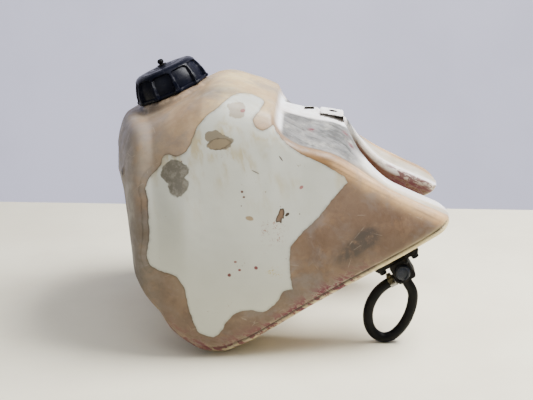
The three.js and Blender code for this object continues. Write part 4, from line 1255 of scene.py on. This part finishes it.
def cap_mesh():
    rings = [cap_ring(*values) for values in (
        (46.5, 0, 1.6, 0.2), (48.4, 0, 3.0, 0.2), (49, 0.6, 3.4, 0.22), (49, 2.6, 3.6, 0.24),
        (48.7, 3.2, 3.8, 0.26),
    )]
    rings += [skirt_ring(height) for height in np.arange(3.9, SKIRT_HEIGHT, 0.8)]
    top = [(37.9, 29.3), (36.8, 30.3), (35.4, 31.1), (34.2, 31.5), (33.7, 31.0), (32.6, 31.0), (32, 31.8),
           (27, 32.4), (22.6, 32.7), (22, 32.1), (20.8, 32.1), (20.2, 32.9), (16, 33.2), (12.4, 33.4),
           (12, 34.0), (9.4, 34.05), (9, 33.8), (3.2, 33.9), (2.9, 33.6), (2.9, CAP_CEILING),
           (30, CAP_CEILING), (CAP_BORE - 0.6, CAP_CEILING - 0.2), (CAP_BORE, CAP_CEILING - 1),
           (CAP_BORE, 1), (34.2, 0), (36.2, 0), (36.4, 7), (38.6, 7), (38.8, 0)]
    rings += [cap_ring(radius, height) for radius, height in top]
    return loft(rings, wrap=True)


def filler_cap():
    shell_mesh = union(cap_mesh(), thread(34.0, 31.8, 8))
    webs = [placed(block(35.8, 39.2, -0.7, 0.7, 1.2, 7.4), turn(36 * i, "Z")) for i in range(SCALLOPS)]
    shell_mesh = union(shell_mesh, *webs)
    piece("filler_cap", shell_mesh, neck_frame, "cap", "cap_plastic", ["cap_shell"], sharp=28)
    nipple = turned([
        [0, 20.9], [5.7, 20.9], [6, 21.2], [6, 23.4], [5.6, 23.7], [2.6, 23.7], [2.6, 36.2], [3.0, 36.5],
        [3.6, 37.2], [4.0, 38.4], [4.0, 39.4], [3.7, 40.4], [3.2, 41.2], [2.4, 41.9], [1.2, 42.2],
        [1.0, 42.0], [0.9, 39.5], [0, 39.5],
    ], 40)
    piece("vent_valve", nipple, neck_frame, "cap", "rubber", ["vent_nipple"])
    washer = turned([[3.0, 34.3], [5.6, 34.3], [6.1, 34.6], [6.1, 35.2], [5.6, 35.6], [3.4, 35.7],
                     [3.0, 35.5], [3.0, 34.3]], 40)
    piece("vent_collar", washer, neck_frame, "cap", "rubber", ["vent_washer"])


filler_cap()


# ---- fuel tap: +Z of the tap's frame points into the tank, its face looks along -Y --------------------
TAP_AXIS_X, TAP_AXIS_Z, TAP_HALF = 0.8, -18, 12.2
SPIGOT_Z, SPIGOT_LENGTH = -27.5, 10.5
COVER_SCREWS = ((9.2, 9.2), (-9.2, -9.2))
face_frame = tap_frame @ move(TAP_AXIS_X, 0, TAP_AXIS_Z) @ turn(90, "X")
front_spigot = tap_frame @ move(TAP_AXIS_X - TAP_HALF, -1, SPIGOT_Z) @ turn(-90, "Y")
rear_spigot = tap_frame @ move(-3, 5, -33) @ turn(180, "X")


def spigot():
    """Hose tail with two barbs, running out along +Z from a body."""
    return turned([[0, -3], [4.4, -3], [4.4, 0.5], [3.6, 1], [3.6, 3], [4.0, 4], [3.6, 6.2], [3.6, 7],
                   [4.0, 8], [3.3, SPIGOT_LENGTH - 0.6], [2.9, SPIGOT_LENGTH], [2, SPIGOT_LENGTH], [2, 1],
                   [0, 1]], 40)


def tap_casting():
    plate = bevelled(prism(flange(13.2, 7.6, TAP_BOLT), -8.1, -2.1), 0.7)
    across = prism(rounded(-12, 12, -14.6, 13.2, 4.5), -13.3, 13.5)
    house = placed(bevelled(across, 0.9, 3), face_frame)
    stem = placed(rod(9.5, -11, -6, 40), tap_frame)
    lug = placed(bevelled(prism(rounded(4.6, 12.2, 6.2, 15.6, 3.4), -13, 13.5), 0.6), face_frame)
    body = union(placed(plate, tap_frame), stem, house, lug,
                 placed(spigot(), front_spigot), placed(spigot(), rear_spigot))
    bores = [
        placed(rod(10.3, 3.3, 20, 56), face_frame),
        placed(rod(7.2, -5.1, 0, 40), tap_frame),
        placed(rod(3.3, -13, 0, 32), tap_frame),
    ]
    bores += [placed(rod(3.3, -9, 0, 32), tap_frame @ move(s * TAP_BOLT, 0, 0)) for s in (-1, 1)]
    bores += [placed(rod(1.7, 5, 20, 24), face_frame @ move(x, y, 0)) for x, y in COVER_SCREWS]
    piece("tap_housing", cut(body, *bores), Matrix(), "tank", "tap_casting", ["tap_body"])


def tap_face():
    """Cover plate with a raised bezel round the knob."""
    plate = bevelled(prism(rounded(-12, 12, -13.5, 13.5, 4.2), 13.8, 16.0), 0.5)
    bezel = turned([[9.15, 13.9], [10.6, 13.9], [10.6, 16.6], [10.2, 17.4], [9.6, 17.5], [9.15, 17.0],
                    [9.15, 13.9]], 64)
    mesh = cut(union(plate, bezel), rod(9.15, 12, 19, 64),
               *[placed(rod(1.7, 12, 19, 24), move(x, y, 0)) for x, y in COVER_SCREWS])
    piece("tap_faceplate", mesh, face_frame, "tank", "tap_casting", ["tap_cover"])


def tap_lever():
    """Round knob: a dished face with a crescent grip across it."""
    drum = turned([[0, 6.3], [9.7, 6.3], [9.9, 6.5], [9.9, 8.8], [9.7, 9], [8.8, 9], [8.75, 9.2],
                   [8.75, 20.8], [8.4, 21.8], [7.7, 22.5], [6.6, 23.0], [5, 23.4], [3, 23.6], [0, 23.7]], 72)
    outline = []
    for angle in np.radians(np.linspace(-68, 68, 15)):
        outline.append([7.4 * math.cos(angle), 7.4 * math.sin(angle)])
    for angle in np.radians(np.linspace(58, -58, 13)):
        outline.append([-2.4 + 8.0 * math.cos(angle), 8.0 * math.sin(angle)])
    grip = placed(bevelled(prism(outline, 20.4, 25.0), 0.9, 3), turn(-35, "Z"))
    pointer = bevelled(prism(rounded(-7.0, -3.4, -0.8, 0.8, 0.7, 4), 20.5, 23.9), 0.3)
    piece("tap_knob_turned", union(drum, grip, pointer), face_frame, "knob", "knob_plastic", ["tap_knob"])


def hexagon(radius, low, high, domed=0.8):
    """Bolt head: a hexagon whose top corners are turned off."""
    corners = prism([[radius * math.cos(a), radius * math.sin(a)]
                     for a in np.radians(np.arange(30, 390, 60))], low, high)
    cone = turned([[0, low - 1], [radius + 1, low - 1], [radius + 1, high - domed - 0.5],
                   [radius * 0.84, high], [0, high]], 48)
    return boolean(corners, "INTERSECT", cone)


def flange_bolts():
    for end, side in (("front", -1), ("rear", 1)):
        frame_here = tap_frame @ move(side * TAP_BOLT, 0, 0) @ turn(180, "X")
        head = union(
            turned([[0, 9.7], [5.6, 9.7], [5.8, 9.9], [5.8, 10.4], [5.2, 10.9], [4.6, 11.4], [0, 11.4]], 48),
            hexagon(4.8, 11, 14.6), rod(2.9, -9, 10, 32, 0.4))
        head = cut(head, turned([[0, 13.6], [2.2, 13.9], [2.6, 14.8], [0, 14.8]], 32))
        piece(f"flange_bolt_{end}", head, frame_here, "tank", "black_steel", [f"tap_bolt_{end}"], sharp=25)


def face_screws():
    for end, (x, y) in zip(("upper", "lower"), COVER_SCREWS):
        head = turned([[0, 6.6], [1.4, 6.6], [1.4, 16.7], [2.2, 16.7], [2.35, 16.9], [2.35, 17.5],
                       [2.0, 18.2], [1.2, 18.7], [0, 18.8]], 40)
        cross = union(block(-1.5, 1.5, -0.28, 0.28, 17.6, 20), block(-0.28, 0.28, -1.5, 1.5, 17.5, 20.1))
        piece(f"face_screw_{end}", cut(head, cross), face_frame @ move(x, y, 0), "tank", "black_steel",
              [f"cover_screw_{end}"], sharp=30)


tap_casting()
tap_face()
tap_lever()
flange_bolts()
face_screws()

# ---- hose clamp: +Z along the hose, ears along +X -----------------------------------------------------
CLAMP_TURN = -50
clamp_frame = front_spigot @ move(0, 0, 6) @ turn(CLAMP_TURN, "Z")


def hose_clamp():
    r = HOSE_RADIUS
    band = turned([[r + 0.3, -4], [r + 0.75, -4.15], [r + 1.1, -3.9], [r + 1.1, -3.1], [r + 0.8, -2.8],
                   [r + 0.8, 2.8], [r + 1.1, 3.1], [r + 1.1, 3.9], [r + 0.75, 4.15], [r + 0.3, 4],
                   [r + 0.3, -4]], 72)
    ears = bevelled(prism(rounded(r + 0.9, r + 7, -4.1, 4.1, 1.8), -3.6, 3.6), 0.5)
    split = block(r + 2.2, r + 8, -1.0, 1.0, -4, 4)
    across_ears = move(r + 4, 0, 0) @ turn(90, "X")
    bore = placed(rod(2.3, -9, 9, 32), across_ears)
    screw = union(rod(1.9, -7.5, 5, 32, 0.3), placed(hexagon(3.4, 0, 3.2), move(0, 0, 4.3)),
                  placed(hexagon(3.2, 0, 2.8, 0.4), move(0, 0, -7.1)))
    screw = cut(screw, block(-3.4, 3.4, -0.45, 0.45, 6.6, 9))
    return [
        piece("clamp_band", band, clamp_frame, "tank", "steel", ["hose_clamp"]),
        piece("clamp_ears", cut(ears, split, bore), clamp_frame, "tank", "clamp_fitting", ["hose_clamp"]),
        piece("clamp_bolt", screw, clamp_frame @ across_ears, "tank", "clamp_fitting", ["clamp_screw"],
              sharp=25),
    ]


clamps = hose_clamp()


# ---- mount fittings, then the CAD nodes that stay in sight -------------------------------------------
def tab_fittings():
    ring_mesh = turned([[3.7, -14], [5, -14], [5, -2], [4.6, -1.6], [4, -1.6], [3.7, -1.9], [3.7, -14]], 64)
    piece("tab_grommet", ring_mesh, tab_frame, "tank", "rubber", ["rear_mount_grommet"])
    sleeve = turned([[2.6, -14], [3.4, -14], [3.4, -3.2], [3.2, -2.9], [2.8, -2.9], [2.6, -3.2],
                     [2.6, -14]], 48)
    piece("tab_sleeve", sleeve, tab_frame, "tank", "steel", ["rear_mount_sleeve"])


def front_inserts():
    for name, side in (("left", -1), ("right", 1)):
        mesh = turned([[2.2, 3.8], [2.6, 3.3], [3.7, 3.3], [4, 3.7], [4, 11.6], [3.6, 12], [2.2, 12],
                       [2.2, 3.8]], 48)
        piece(f"insert_{name}", mesh, insert_frame(side), "tank", "brass", [f"shroud_insert_{name}"])


tab_fittings()
front_inserts()
slots = {part["node"]: part["material_slot"] for part in frame["record"]["subparts"]}
for name, node in frame["nodes"].items():
    if not node.hide_render:
        node.data.materials.clear()
        node.data.materials.append(MATERIALS[slots[name]])
        node.data.shade_smooth()
        node.data.set_sharp_from_angle(angle=math.radians(32))


# ---- studio: a pale table, a pale wall and soft light ----------------------------------------------
TABLE_EDGE, WALL_Y = 0.47, 2.2
# Each light: name, place, aim, size in metres and power in watts.
LIGHTS = [
    ("key", (0.70, 0.0, 1.40), (0.1, 0, 0.12), (0.8, 0.7), 68),
    ("top", (-0.20, -0.55, 1.8), (-0.05, 0, 0.15), (1.3, 1.0), 10),
    ("fill", (-1.1, -1.8, 0.9), (0, 0, 0.15), (1.2, 1.2), 6.5),
]
AIR_COLOUR, AIR_STRENGTH = (0.86, 0.89, 0.95, 1), 0.28


def studio_surface(name, colour, shade, size, glow=0.0):
    m = Paint(name, colour)
    m.over(m.patches((size, 5, 0.6), 0.35, 0.7), shade)
    m.set(Roughness=0.6)
    if glow:
        m.set(Emission_Color=m.colour, Emission_Strength=glow)
    return m.material


def studio():
    floor = new_mesh("floor", [(-3, -2.2, 0), (3, -2.2, 0), (3, TABLE_EDGE, 0), (-3, TABLE_EDGE, 0)],
                     [(0, 1, 2, 3)])
    wall = new_mesh("wall", [(-5, WALL_Y, -2.5), (5, WALL_Y, -2.5), (5, WALL_Y, 3.5), (-5, WALL_Y, 3.5)],
                    [(0, 1, 2, 3)])
    floor.materials.append(studio_surface("table_top", (0.86, 0.81, 0.63), (0.80, 0.74, 0.57), 180))
    wall.materials.append(studio_surface("wall_paint", (0.51, 0.505, 0.63), (0.48, 0.475, 0.59), 400, 1.15))
    for mesh in (floor, wall):
        made = bpy.data.objects.new(mesh.name, mesh)
        bpy.context.scene.collection.objects.link(made)


def area_light(name, place, aim, size, power):
    data = bpy.data.lights.new(name, "AREA")
    data.shape = "RECTANGLE"
    data.size, data.size_y = size
    data.energy = power
    light = bpy.data.objects.new(name, data)
    light.location = place
    light.rotation_euler = (Vector(aim) - Vector(place)).to_track_quat("-Z", "Y").to_euler()
    bpy.context.scene.collection.objects.link(light)


studio()
for light_values in LIGHTS:
    area_light(*light_values)
world = bpy.data.worlds.new("studio_air")
world.use_nodes = True
world.node_tree.nodes["Background"].inputs[0].default_value = AIR_COLOUR
world.node_tree.nodes["Background"].inputs[1].default_value = AIR_STRENGTH
bpy.context.scene.world = world
